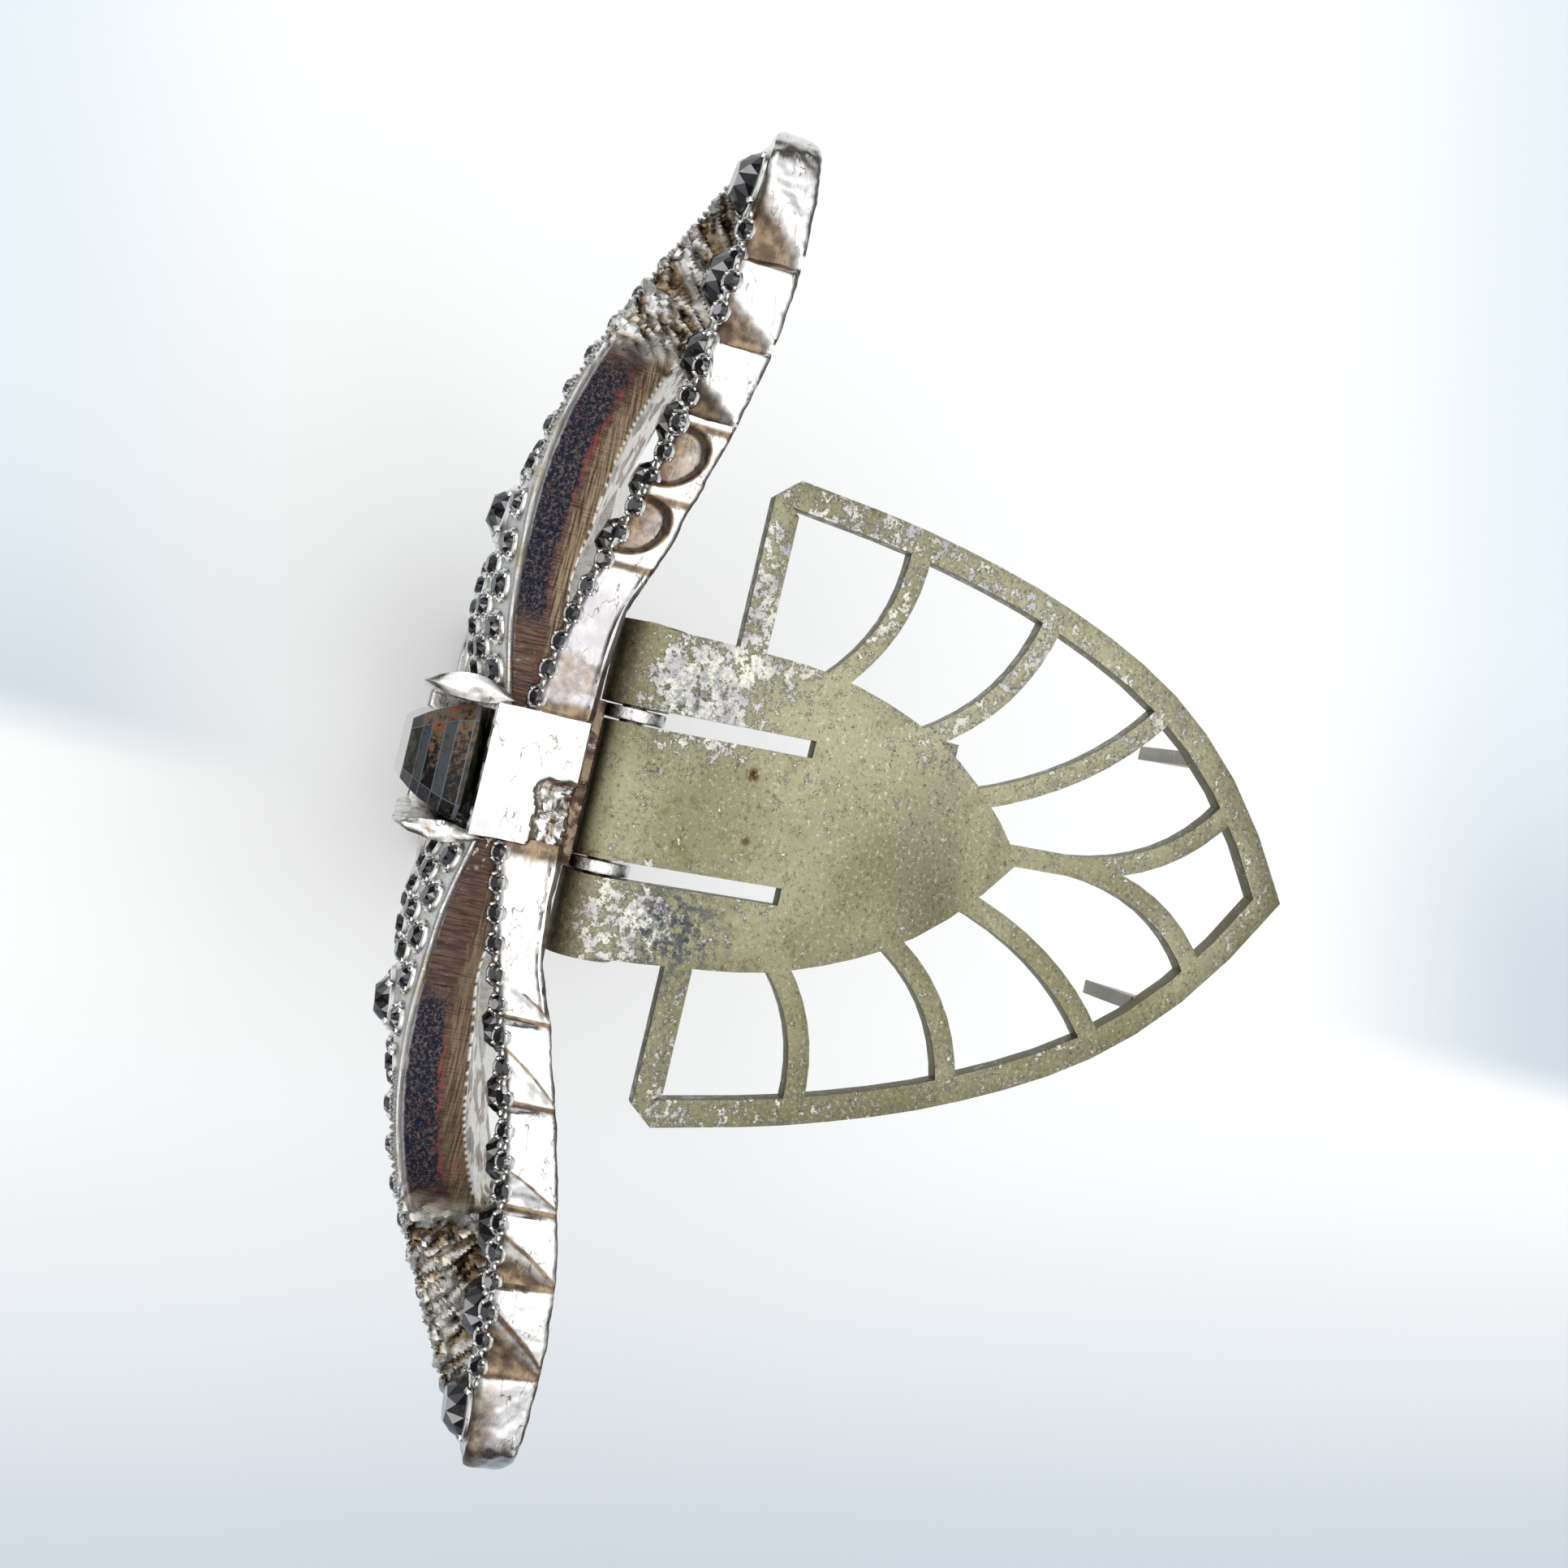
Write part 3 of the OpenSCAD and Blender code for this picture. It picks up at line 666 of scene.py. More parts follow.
def ribbon_plate(name, c):
    """Brushed side of a wing: dark granular oxide, brown rub marks and a red streak."""
    f = Finish(name, Metallic=1.0)
    right, span = f.axis("X").level(-1.0, 1.0), abs(f.axis("X"))
    across, recess = f.reads("across"), f.reads("recess")
    wobble = (f.noise(1.3, 6.0, 0.72) - 0.5) * 0.45
    side = across + wobble
    grain = f.noise(8.0, 7.0, 0.85)
    brushed = f.noise(1.6, 5.0, 0.6, f.stretch(9.0, 0.6, 1.0))
    lengthwise = f.noise(1.6, 5.0, 0.6, f.stretch(0.4, 8.0, 1.0))
    smears = f.noise(4.0, 5.0, 0.7, f.stretch(5.0, 0.8, 1.0))
    rub = f.coats(
        c.brown_dark,
        (brushed.level(0.40, 0.60), c.brown_rub),
        (smears.level(0.62, 0.68, 0.0, 0.45), c.lilac),
        (right * 0.3, c.brown_dark),
    )
    gold = f.coats(
        c.brown_dark,
        (lengthwise.level(0.36, 0.62), c.gold_rub),
        (grain.level(0.54, 0.64, 0.0, 0.6), c.bronze),
        (right * 0.45, c.brown_dark),
    )
    dark = f.coats(
        c.navy,
        (grain.level(0.495, 0.585, 0.0, 0.85), c.speck),
        (lengthwise.level(0.60, 0.70, 0.0, 0.5), c.brown_rub),
    )
    # The oxide starts nearer the middle on the left wing, and ends before the cast relief
    start = f.axis("X").level(-0.5, 0.5, 5.0, 7.8)
    inner = (span + wobble * 5.0 - start).level(0.0, 1.6)
    outer = (span + wobble * 4.0).level(15.2, 16.6, 1.0, 0.0)
    oxide = inner * outer * side.level(0.36, 0.44) * f.noise(0.9).level(0.24, 0.34)
    streak = abs(side - 0.40).level(0.01, 0.06, 1.0, 0.0) * lengthwise.level(0.50, 0.58)
    streak = streak * span.level(8.0, 12.0, 0.25, 1.0) * outer
    spots = f.noise(2.4, 6.0, 0.75).level(0.60, 0.65) * span.level(10.0, 16.0, 0.2, 0.9)
    edge = (across + wobble * 0.2).level(0.83, 0.88)
    bright = (f.noise(2.2, 6.0, 0.72) + recess * 0.2).level(0.56, 0.62)
    strip = f.coats(
        gold,
        (side.level(0.26, 0.36), rub),
        (oxide, dark),
        (streak * 0.85, c.red_wear),
        (spots * outer * inner, c.red_wear),
        (edge * 0.8, c.lilac),
        (bright * span.level(3.0, 4.6, 1.0, 0.0), c.yellowed),
    )
    hollow = (recess + f.noise(3.0, 5.0, 0.6) * 0.5).level(0.50, 0.95)
    cast = f.coats(
        c.plate,
        (f.noise(1.2).level(0.45, 0.7), c.yellowed),
        (hollow, f.mix(f.noise(1.9).level(0.4, 0.6), c.brown_dark, c.bronze)),
    )
    scored = f.noise(3.0, 2.0, at=f.stretch(7.0, 0.15, 1.0, 12)).level(0.62, 0.68)
    relief = brushed * 0.6 + grain * 0.6 - scored * 0.5
    rough = (oxide * 0.4 + grain * 0.6).level(0.1, 0.9, 0.22, 0.55)
    f.apply(f.mix(f.reads("strip"), cast, strip), relief, 0.6, 0.05, rough)


def cast_plate(name, c):
    """Plated casting of the lower front, aged between its raised parts."""
    f = Finish(name, Metallic=1.0)
    shade = (f.reads("recess") + f.noise(2.0, 6.0, 0.65) * 0.7).level(0.55, 1.05)
    metal = f.coats(
        c.plate,
        (f.noise(0.6).level(0.40, 0.70, 0.0, 0.5), c.yellowed),
        (shade, f.mix(f.noise(1.2).level(0.42, 0.6), c.aged, c.bronze)),
        (f.noise(6.0).level(0.64, 0.72, 0.0, 0.5), c.navy),
    )
    rough = f.noise(3.0).level(0.3, 0.7, 0.14, 0.36)
    f.apply(metal, f.noise(4.0, 6.0, 0.65), 0.5, 0.05, rough)


def bracket_plate(name, c):
    """Brown, greasy metal round the hinge, brighter on the ears."""
    f = Finish(name, Metallic=1.0)
    ears = f.axis("Y").level(0.0, 0.4) * f.noise(1.4, 5.0, 0.6).level(0.36, 0.48)
    metal = f.coats(
        c.brown_dark,
        (f.noise(1.6, 6.0, 0.65).level(0.40, 0.62), c.brown_rub),
        (f.noise(3.0).level(0.58, 0.66, 0.0, 0.6), c.navy),
        (f.noise(2.2, 6.0, 0.7).level(0.55, 0.64, 0.0, 0.8), c.lilac),
        (f.noise(1.1, 5.0, 0.6).level(0.50, 0.56, 0.0, 0.85), c.gold_rub),
        (ears, c.plate),
    )
    rough = f.noise(5.0, 3.0).level(0.3, 0.7, 0.20, 0.45)
    f.apply(metal, f.noise(5.0, 5.0, 0.6), 0.6, 0.06, rough)


def flap_tarnish(name, c):
    """Khaki tarnish over silver sheet, flaking on the arms and the rim, with painted light and
    sparkle towards -X and painted shade towards +X, on the steep walls and where the sheet rolls
    under.
    """
    f = Finish(name, Metallic=0.85)
    across, along, wall = f.axis("X"), f.axis("Y"), f.reads("wall")
    grain = f.noise(5.5, 5.0, 0.75)
    # Painted light: a pool of light towards -X, where the painted sparkle is strongest; painted
    # shade towards +X and round one spot
    lit = f.near(-5.0, 12.0, 1.0, 9.0).max(f.near(-10.0, 19.0, 2.0, 12.0))
    dull = across.level(4.0, 11.0).max(f.near(0.5, 13.5, 0.5, 5.5))
    shine = f.noise(4.5, 3.0, 0.6).level(0.60, 0.66) * (lit * 0.7 + 0.3)
    green = f.noise(1.1, 7.0, 0.72).level(0.52, 0.62) * along.level(1.5, 10.0, 1.0, 0.35)
    skin = f.coats(
        c.khaki,
        (f.noise(0.22).level(0.38, 0.64), c.khaki_light),
        (lit * 0.6, c.khaki_painted_light),
        (dull * 0.35, c.khaki_dark),
        (grain.level(0.34, 0.47, 0.85, 0.0), c.khaki_dark),
        (grain.level(0.55, 0.66, 0.0, 0.85), c.khaki_pale),
        (shine * 0.8, c.bare_sheet),
        (green * 0.55, c.khaki_green),
    )
    bare = (f.noise(2.2, 11.0, 0.80) + f.patches(*FLAKED) * 0.15).level(0.580, 0.612)
    metal = f.coats(
        c.bare_sheet,
        (f.noise(0.9, 6.0, 0.6).level(0.40, 0.62), c.lilac),
        (grain.level(0.42, 0.50, 0.5, 0.0), c.khaki),
    )
    blue = f.patches((4.7, 4.4, 0.6, 3.2, 1.0), (-4.4, 3.2, 0.5, 2.4, 0.75))
    blue = blue * f.noise(2.6, 7.0, 0.75).level(0.46, 0.55)
    blue = blue.max(f.near(-1.4, 2.2, 0.1, 0.7) * f.noise(5.0).level(0.5, 0.6))
    # Beside the hinge the sheet curls round the pin, and between the knuckles it rolls under,
    # where dark khaki paints its shade
    outside = abs(across).level(2.7, 3.2)
    curled = along.level(0.3, 1.6, 1.0, 0.0) * outside
    curl = f.mix(f.noise(2.2, 6.0, 0.65).level(0.4, 0.62), c.brown_rub, c.gold_rub)
    roll = along.level(0.05, 1.2, 1.0, 0.0) * (1.0 - outside)
    rust = f.near(2.35, 0.3, 0.1, 0.55) * f.noise(3.0, 5.0).level(0.35, 0.5)
    rust = rust.max(f.patches((-2.0, 6.1, 0.10, 0.42, 1.0), (0.6, 6.4, 0.06, 0.30, 0.8)))
    paint = f.coats(
        skin,
        (bare, metal),
        (blue * 0.8, c.blue_stain),
        (curled * 0.6, curl),
        (roll * 0.85, c.khaki_dark),
        (rust * f.noise(3.5).level(0.38, 0.50), c.rust),
        # Lilac on the teeth, and painted shade on the sheet's steep walls
        (wall.level(-0.9, -0.5, 0.6, 0.0), c.lilac),
        (wall.level(0.0, 1.0, 0.0, 0.7), c.khaki_dark),
    )
    rough = (grain - bare * 0.25).level(0.1, 0.7, 0.20, 0.55)
    f.apply(paint, grain * 0.9 - bare * 0.25, 0.7, 0.05, rough)


def dark_glass(name, c):
    """Near-black glass, some facets lit and some showing dusty foil."""
    f = Finish(name, Metallic=0.0, Roughness=0.05, IOR=1.5, Coat_Weight=0.3, Coat_Roughness=0.03)
    glint = f.reads("glint")
    paint = f.coats(
        c.stone,
        (glint.level(0.55, 0.80), c.stone_glint),
        (glint.level(0.90, 0.93), c.lilac),
        (f.noise(5.0, 5.0).level(0.60, 0.68, 0.0, 0.5), c.foil),
    )
    f.apply(paint, f.noise(3.0, 2.0), 0.12, 0.03)


def smoky_glass(name, c):
    """Smoky step-cut glass: mottled foil seen through some facets, sky in the others."""
    f = Finish(name, Metallic=0.0, Roughness=0.08, IOR=1.45, Specular_IOR_Level=0.35)
    tone = f.reads("tone")
    warm = f.axis("X").level(-1.8, 1.7, 0.09, -0.06)
    mottle = f.noise(3.8, 9.0, 0.80) + warm
    ember = (f.noise(1.1, 5.0, 0.65) + warm).level(0.58, 0.68) * mottle.level(0.48, 0.60)
    foil = f.coats(
        c.foil_dark,
        (mottle.level(0.47, 0.64), c.foil),
        (ember, c.ember),
        (f.noise(7.0).level(0.62, 0.68, 0.0, 0.6), c.facet_sky),
    )
    sky = f.coats(
        c.facet_sky,
        (f.noise(2.4, 7.0, 0.7).level(0.45, 0.70), c.smoke_light),
        (f.noise(4.0, 7.0, 0.75).level(0.38, 0.50, 0.55, 0.0), c.smoke),
    )
    paint = f.coats(
        c.smoke,
        (f.noise(1.6, 7.0, 0.75).level(0.44, 0.62), c.smoke_light),
        (tone.level(0.25, 0.45), foil),
        (tone.level(0.65, 0.85), sky),
        (tone.level(1.1, 1.3, 0.0, 0.18), c.lilac),
    )
    f.apply(paint, f.noise(2.0, 2.0), 0.08, 0.03)


def drawn_wire(name, c):
    """Drawn steel wire, dull with handling."""
    f = Finish(name, Metallic=1.0)
    drawn = f.noise(2.0, 3.0, at=f.stretch(0.3, 8.0, 8.0))
    paint = f.mix(drawn.level(0.35, 0.65), c.brown_rub, c.lilac)
    f.apply(paint, drawn, 0.3, 0.03, drawn.level(0.3, 0.7, 0.25, 0.45))


def pale_floor(name, c):
    """Glossy pale board, bluer past its left and right ends, and bluer and darker towards the
    viewer with painted shade.
    """
    f = Finish(name, Roughness=0.22, Specular_IOR_Level=0.30)
    across = f.axis("Y") * 0.935 - f.axis("X") * 0.23
    down = f.axis("X") + f.axis("Y") * 0.10 + 2.4
    beside = across.level(-27.0, -8.0, 1.0, 0.0).max(across.level(50.0, 76.0))
    edge = down - across * 0.137
    # Painted shade: the tone beside the board and the board itself darken towards the viewer
    wall = f.mix(down.level(-16.0, 10.0), c.floor_wall, c.floor_dim)
    board = f.mix(down.level(14.0, 66.0), c.floor, c.floor_shade)
    paint = f.mix(beside * edge.level(5.5, 9.5, 1.0, 0.0), board, wall)
    f.apply(paint, f.noise(0.02, 2.0), 0.05, 0.5)


FINISHES = {
    "bright_plate": bright_plate,
    "block_plate": partial(bright_plate, cloud=0.08),
    "ribbon_plate": ribbon_plate,
    "cast_plate": cast_plate,
    "bracket_plate": bracket_plate,
    "flap_tarnish": flap_tarnish,
    "dark_glass": dark_glass,
    "smoky_glass": smoky_glass,
    "drawn_wire": drawn_wire,
    "pale_floor": pale_floor,
}


def finished(name):
    """Material of a finish, made when it is first asked for."""
    if name not in bpy.data.materials:
        FINISHES[name](name, bpy.context.scene.clip_colours)
    return bpy.data.materials[name]


# Properties


def colour(name, description, value):
    """Colour of a finish that a user may change."""
    return FloatVectorProperty(
        name=name, description=description, default=value, size=3, subtype="COLOR", min=0, max=1
    )


def length(name, description, value):
    """Size of a piece that a user may change, given in millimetres."""
    return FloatProperty(
        name=name, description=description, default=value * METRE, unit="LENGTH", min=0
    )


class ClipSizes(bpy.types.PropertyGroup):
    """Sizes of the small forms that the scene adds"""

    lip_height: length("Lip height", "Height of the raised edge along a wing", 0.14)
    groove_depth: length("Groove depth", "Depth of the grooves between scallops", 0.85)
    cast_depth: length("Cast relief", "Depth of the rough relief near a wing's tip", 0.38)
    wire: length("Setting wire", "Radius of the ring round a small stone", 0.13)
    bead: length("Grain radius", "Radius of the grains along the border", 0.19)
    edge: length("Edge rounding", "Rounding of the flap's edges", 0.06)
    edge_stones: IntProperty(
        name="Edge stones", description="Small stones along one wing's border", default=18, min=4
    )


class ClipColours(bpy.types.PropertyGroup):
    """Colours that the finishes are mixed from"""

    plate: colour("Plate", "Bright silver plating", (0.72, 0.71, 0.695))
    yellowed: colour("Yellowed plate", "Plating with a yellow haze", (0.62, 0.565, 0.43))
    # Aged plate and bronze also colour the painted shade in the border's scoops
    aged: colour("Aged plate", "Brown ageing in the recesses", (0.13, 0.095, 0.070))
    bronze: colour("Bronze", "Golden brown wear", (0.32, 0.24, 0.15))
    brown_rub: colour("Brown rub", "Brown brushed metal", (0.125, 0.080, 0.060))
    brown_dark: colour("Dark brown rub", "Scratches in the brown metal", (0.050, 0.032, 0.026))
    gold_rub: colour("Golden rub", "Golden brushed metal", (0.235, 0.18, 0.112))
    red_wear: colour("Red wear", "Red metal showing through", (0.25, 0.050, 0.035))
    navy: colour("Oxide", "Blue-black oxide", (0.013, 0.016, 0.030))
    speck: colour("Speckle", "Tan grains in the oxide", (0.17, 0.135, 0.115))
    # Lilac plate also paints the shade on the block's lower front corner
    lilac: colour("Lilac plate", "Grey-lilac worn plating", (0.46, 0.44, 0.46))
    # Bare sheet also paints the flap's sparkle, strongest where it is lit
    bare_sheet: colour("Bare sheet", "Silver sheet under the tarnish", (0.68, 0.67, 0.59))
    khaki: colour("Khaki", "Tarnish of the flap", (0.26, 0.247, 0.143))
    khaki_light: colour("Light khaki", "Lighter tarnish", (0.355, 0.34, 0.215))
    # Dark khaki also paints shade on the flap: towards +X, on its steep walls and where it rolls
    # under
    khaki_dark: colour("Dark khaki", "Pits in the tarnish", (0.075, 0.068, 0.034))
    # Painted light: the lighter khaki of the flap's lit part towards -X
    khaki_painted_light: colour("Sunny khaki", "Tarnish where it is thinnest", (0.47, 0.455, 0.30))
    khaki_pale: colour("Pale khaki", "Grains that catch the light", (0.60, 0.59, 0.44))
    khaki_green: colour("Green khaki", "Green patches of tarnish", (0.155, 0.155, 0.045))
    blue_stain: colour("Blue stain", "Blue-black stains on the arms", (0.035, 0.045, 0.085))
    rust: colour("Rust", "Rust spots", (0.085, 0.038, 0.012))
    stone: colour("Small stone", "Body of the small stones", (0.005, 0.005, 0.007))
    stone_glint: colour("Stone glint", "Light inside the small stones", (0.10, 0.10, 0.105))
    foil: colour("Foil", "Foil behind the stones", (0.17, 0.115, 0.065))
    ember: colour("Ember", "Copper seen through the foil", (0.30, 0.085, 0.035))
    foil_dark: colour("Dark foil", "Tarnished foil", (0.008, 0.007, 0.009))
    smoke: colour("Smoky glass", "Body of the centre stone", (0.018, 0.018, 0.010))
    smoke_light: colour("Light smoke", "Lighter part of the centre stone", (0.075, 0.075, 0.050))
    facet_sky: colour("Facet light", "Sky in the stone's facets", (0.062, 0.074, 0.088))
    floor: colour("Floor", "Pale floor", (1.0, 1.0, 1.0))
    floor_shade: colour("Floor shade", "Floor towards the viewer", (0.55, 0.615, 0.68))
    floor_wall: colour("Floor beyond", "Bluer tone beside the board", (0.80, 0.87, 0.91))
    floor_dim: colour("Floor edge", "Darker end of that tone", (0.63, 0.70, 0.76))


# Pieces


class ClipOperator:
    """Shared by every operator that builds a piece."""

    bl_options = {"REGISTER", "UNDO"}


class OBJECT_OT_clip_ribbons(ClipOperator, bpy.types.Operator):
    """Build the two wing ribbons with their raised edges and cast relief"""

    bl_idname = "object.clip_ribbons"
    bl_label = "Wing Ribbons"

    def ring(self, x, lip):
        """Profile of a ribbon: brushed side, raised edge, domed face and plain back."""
        front, back, top = curve(RIBBON, 1, x), curve(RIBBON, 2, x), ribbon_top(x)
        low, set_back = ribbon_low(x), 0.6 * curve(RIBBON, 6, x)  # less behind than in front
        points = [Vector((x, back, top))]
        extend(points, (x, front + LIP_WIDTH, top), 16)
        points += [Vector((x, front + dy, top + dz * lip)) for dy, dz in LIP_SHAPE]
        points += [Vector((x, ribbon_face(x, z), z)) for z in steps(top, low, 30)[1:]]
        extend(points, (x, back + set_back, low), 6)
        extend(points, points[0], 20)
        return points

    def cast(self, co):
        """Share of the cast relief at a place; it sets in towards the wing's tip."""
        return ease(*CAST_START, abs(co.x) + 0.6 * noise.noise(co))

    def serration(self, side, name):
        """Fine grains of metal along the outer part of the raised edge."""
        places = [
            Matrix.Translation((x, curve(RIBBON, 1, x) + 0.02, ribbon_top(x) + 0.02))
            @ Matrix.Diagonal((0.8, 1.2, 1.2, 1.0))
            for x in steps(*LIP_GRAINS, LIP_GRAIN_COUNT)
        ]
        grains = mirror_over(add_copies(bmesh.new(), ball(0.15, 1), places), side)
        piece(grains, f"lip_grains_{name}", "bright_plate")

    def execute(self, context):
        lip = mm(sizes().lip_height)
        for side, name in SIDES:
            bm, strip, across, recess = layered("strip", "across", "recess")
            loft(bm, [self.ring(x, lip) for x in steps(WING_START, RIBBON_END, 170)])
            for v in bm.verts:
                x, y, z = v.co
                front, back, top = curve(RIBBON, 1, x), curve(RIBBON, 2, x), ribbon_top(x)
                share = (y - back) / (front - back)
                flat = abs(z - top) < 0.02 and 0.0 <= share < 1 - 0.3 / (back - front)
                v[across] = min(max(share, 0.0), 1.0)
                v[strip] = 1 - ease(*STRIP_FADE, x) if flat else 0.0
                # The back is stained in patches
                if share < 0.1 and ribbon_low(x) + 0.1 < z < top - 0.05:
                    v[recess] = ease(-0.02, 0.12, cloud(x * 0.9, 4.0, z * 0.45))
            mirror_over(bm, side)
            depth = mm(sizes().cast_depth)
            roughen(bm, depth, CAST_GRAIN, 3 + side, self.cast, recess, CAST_TURN * side)
            roughen(bm, 0.05, (0.5, 0.9, 0.9), 9 + side)
            piece(bm, f"ribbon_{name}", "ribbon_plate")
            self.serration(side, name)
        return {"FINISHED"}


class OBJECT_OT_clip_borders(ClipOperator, bpy.types.Operator):
    """Build the two scalloped borders with their grooves and beads"""

    bl_idname = "object.clip_borders"
    bl_label = "Scalloped Borders"

    def past(self, x, side):
        """Distance past each groove, as a share of the scallop beyond it."""
        grooves = EDGES[side]
        return [-side * (x - a) / (b - a) for a, b in zip(grooves, grooves[1:])]

    def reach(self, t):
        """How far a scoop spreads over its scallop: all of it in front, none at the back."""
        return (1 - t) ** 0.8

    def scoop(self, x, t, side):
        """Depth of the nearest scoop: sharp on one side, and on the other as far as it reaches."""
        depth, reach = 0.0, self.reach(t)
        for q in self.past(x, side):
            shape = 1 - ease(0.0, 0.06 + 0.62 * reach, q) if q > 0 else 1 - ease(0.0, 0.08, -q)
            depth = max(depth, shape * (0.12 + 0.88 * reach))
        return depth * (1.0 if side < 0 else 0.45)

    def dish(self, x, t):
        """Distance from the middle of the nearer of the two inner lobes, 1 at its outline."""
        return min(
            math.hypot((x - (a + b) / 2) / (0.42 * (b - a)), (t - 0.12) / 0.70)
            for a, b in (EDGES[-1][:2], EDGES[-1][1:3])
        )

    def dished(self, x, side):
        """Whether a place lies in the left wing's two dished lobes, not in the scoops."""
        return side < 0 and x < EDGES[side][2] + 0.1

    def sunk(self, x, t, side):
        """Depth of the border's pattern at a place, as a share of the groove depth."""
        if self.dished(x, side):
            return 0.42 * (1 - ease(0.75, 1.05, self.dish(x, t)))
        return self.scoop(x, t, side)

    def ageing_and_shade(self, x, t, side):
        """How brown the border is at a place: aged brown, and painted shade in the scoops."""
        # Plain inner end: brown at the block and along its rims, patched on the left
        if x < EDGES[side][0] - 1.0:
            patch = 0.45 * ease(0.0, 0.3, cloud(x * 0.6, t * 1.6, 6.0)) * ease(6.5, 4.5, x)
            rims = max(0.32 * ease(0.35, 0.0, t), 0.25 * ease(0.7, 1.0, t))
            return max(0.9 * ease(3.5, 2.5, x), rims, patch if side < 0 else 0.0)
        # Dishes: brown inside, darkest along their outline and in the seams between them
        if self.dished(x, side):
            far = self.dish(x, t)
            if far < 0.98:
                inside = 0.42 + 0.35 * (1 - t) ** 2
            else:
                inside = 0.75 * max(bell(x - at + 0.25, 0.2) for at in EDGES[side][:3])
            return max(bell(far - 0.98, 0.09), inside)
        # Scoops: painted shade in the deep ones on the left, and on the right two fine lines round
        # a shallow one, with painted shade in it from half-span 14 outwards
        tip, scoop = ease(25.6, 24.0, x), self.scoop(x, t, side)
        if side < 0:
            return 1.15 * scoop**0.6 * tip
        far_line = 0.04 + 0.5 * self.reach(t)
        line = max(
            max(bell(q, 0.035), 0.8 * bell(q - far_line, 0.035)) for q in self.past(x, side)
        )
        stain = 0.6 * ease(20.5, 23.5, x) * (1 - ease(0.1, 0.8, t))
        shade = 2.2 * scoop**0.7 * ease(14.0, 19.0, x)
        return max((0.9 * line + shade) * tip, stain)

    def veil_and_shade(self, x, t, side):
        """How dull the plating is at a place; on the block the same layer carries painted shade.
        """
        if side > 0:
            return 0.7 * ease(20.0, 25.0, x)
        return max(1 - ease(7.0, 8.2, x), 0.8 * (1 - ease(0.9, 1.0, self.dish(x, t))))

    def ring(self, x, depth, side):
        """Profile of a border: patterned top, back, underside and front."""
        front, back, top = curve(BORDER, 1, x), curve(BORDER, 2, x), border_top(x)
        low = top - BORDER_DEPTH
        tip = (GROOVES[-1] + GROOVES[-2]) / 2
        if x > tip:  # seen from the front, the border ends in a round lobe
            radius = BORDER_END - tip
            half = math.sqrt(max(radius**2 - (x - tip) ** 2, 0.0025))
            level = border_top(tip) - radius
            top, low = level + half, level - half
        low = min(low, top - 0.05)
        turn = min(max(x - BORDER_END + TIP_ROUNDING, 0.0) / TIP_ROUNDING, 0.94)
        middle, share = (front + back) / 2, math.sqrt(1 - turn**2)
        front, back = blend(middle, front, share), blend(middle, back, share)
        depth *= ease(26.0, 24.5, x)
        points = []
        for t in steps(0.0, 1.0, 20):
            rim = 0.10 * (1 - ease(0.0, 0.08, t)) + 0.10 * ease(0.93, 1.0, t)
            lip = 0.10 * ease(0.78, 0.84, t) * (1 - ease(0.90, 0.95, t)) * (1 - ease(8.0, 9.0, x))
            height = top - depth * self.sunk(x, t, side) - rim + lip
            points.append(Vector((x, blend(front, back, t), height)))
        return close(points, low, 14, 6)

    def edge_row(self, side, name, depth):
        """Small stones along the border's front edge, with grains of metal between them."""
        seats, grains = [], []
        lean = Matrix.Rotation(math.radians(EDGE_ROW_LEAN), 4, "X")
        for k, x in enumerate(steps(*EDGE_ROW, 2 * sizes().edge_stones - 1)):
            z = border_top(x) - depth * self.sunk(x, 0.0, side) * 0.8 - 0.34
            place = Matrix.Translation((x, curve(BORDER, 1, x) - 0.05, z))
            if k % 2:
                grains.append(place @ Matrix.Diagonal((1.0, 0.8, 1.0, 1.0)))
            else:
                seats.append(place @ lean)
        stones = mirror_over(add_copies(bmesh.new(), cut_stone(EDGE_STONE), seats), side)
        glints(stones)
        piece(stones, f"edge_stones_{name}", "dark_glass", sharp=0)
        metal = add_copies(bmesh.new(), ball(mm(sizes().bead), 2), grains)
        add_copies(metal, setting(EDGE_STONE, 0.09), seats)
        piece(mirror_over(metal, side), f"edge_settings_{name}", "bright_plate")

    def execute(self, context):
        depth = mm(sizes().groove_depth)
        # The last ring stops just short of the end, where the lobe has closed
        spans = steps(WING_START, 23.9, 300) + steps(24.0, BORDER_END - 0.03, 26)
        for side, name in SIDES:
            bm, recess, veil_and_shade = layered("recess", "veil_and_shade")
            loft(bm, [self.ring(x, depth, side) for x in spans])
            for v in bm.verts:
                x, front = v.co.x, curve(BORDER, 1, v.co.x)
                t = (v.co.y - front) / (curve(BORDER, 2, x) - front)
                t = min(max(t, 0.0), 1.0)
                below = border_top(x) - depth * self.sunk(x, t, side) - v.co.z
                if t < 0.02 and below > 0.35:
                    v[recess] = ease(0.0, 0.35, cloud(*(v.co * 0.9), 0.7, 2.0))
                else:
                    v[recess] = self.ageing_and_shade(x, t, side)
                v[veil_and_shade] = self.veil_and_shade(x, t, side)
            mirror_over(bm, side)
            roughen(bm, 0.07, (0.8, 0.8, 0.8), 4 + side)
            piece(bm, f"border_{name}", "bright_plate")
            self.edge_row(side, name, depth)
        return {"FINISHED"}


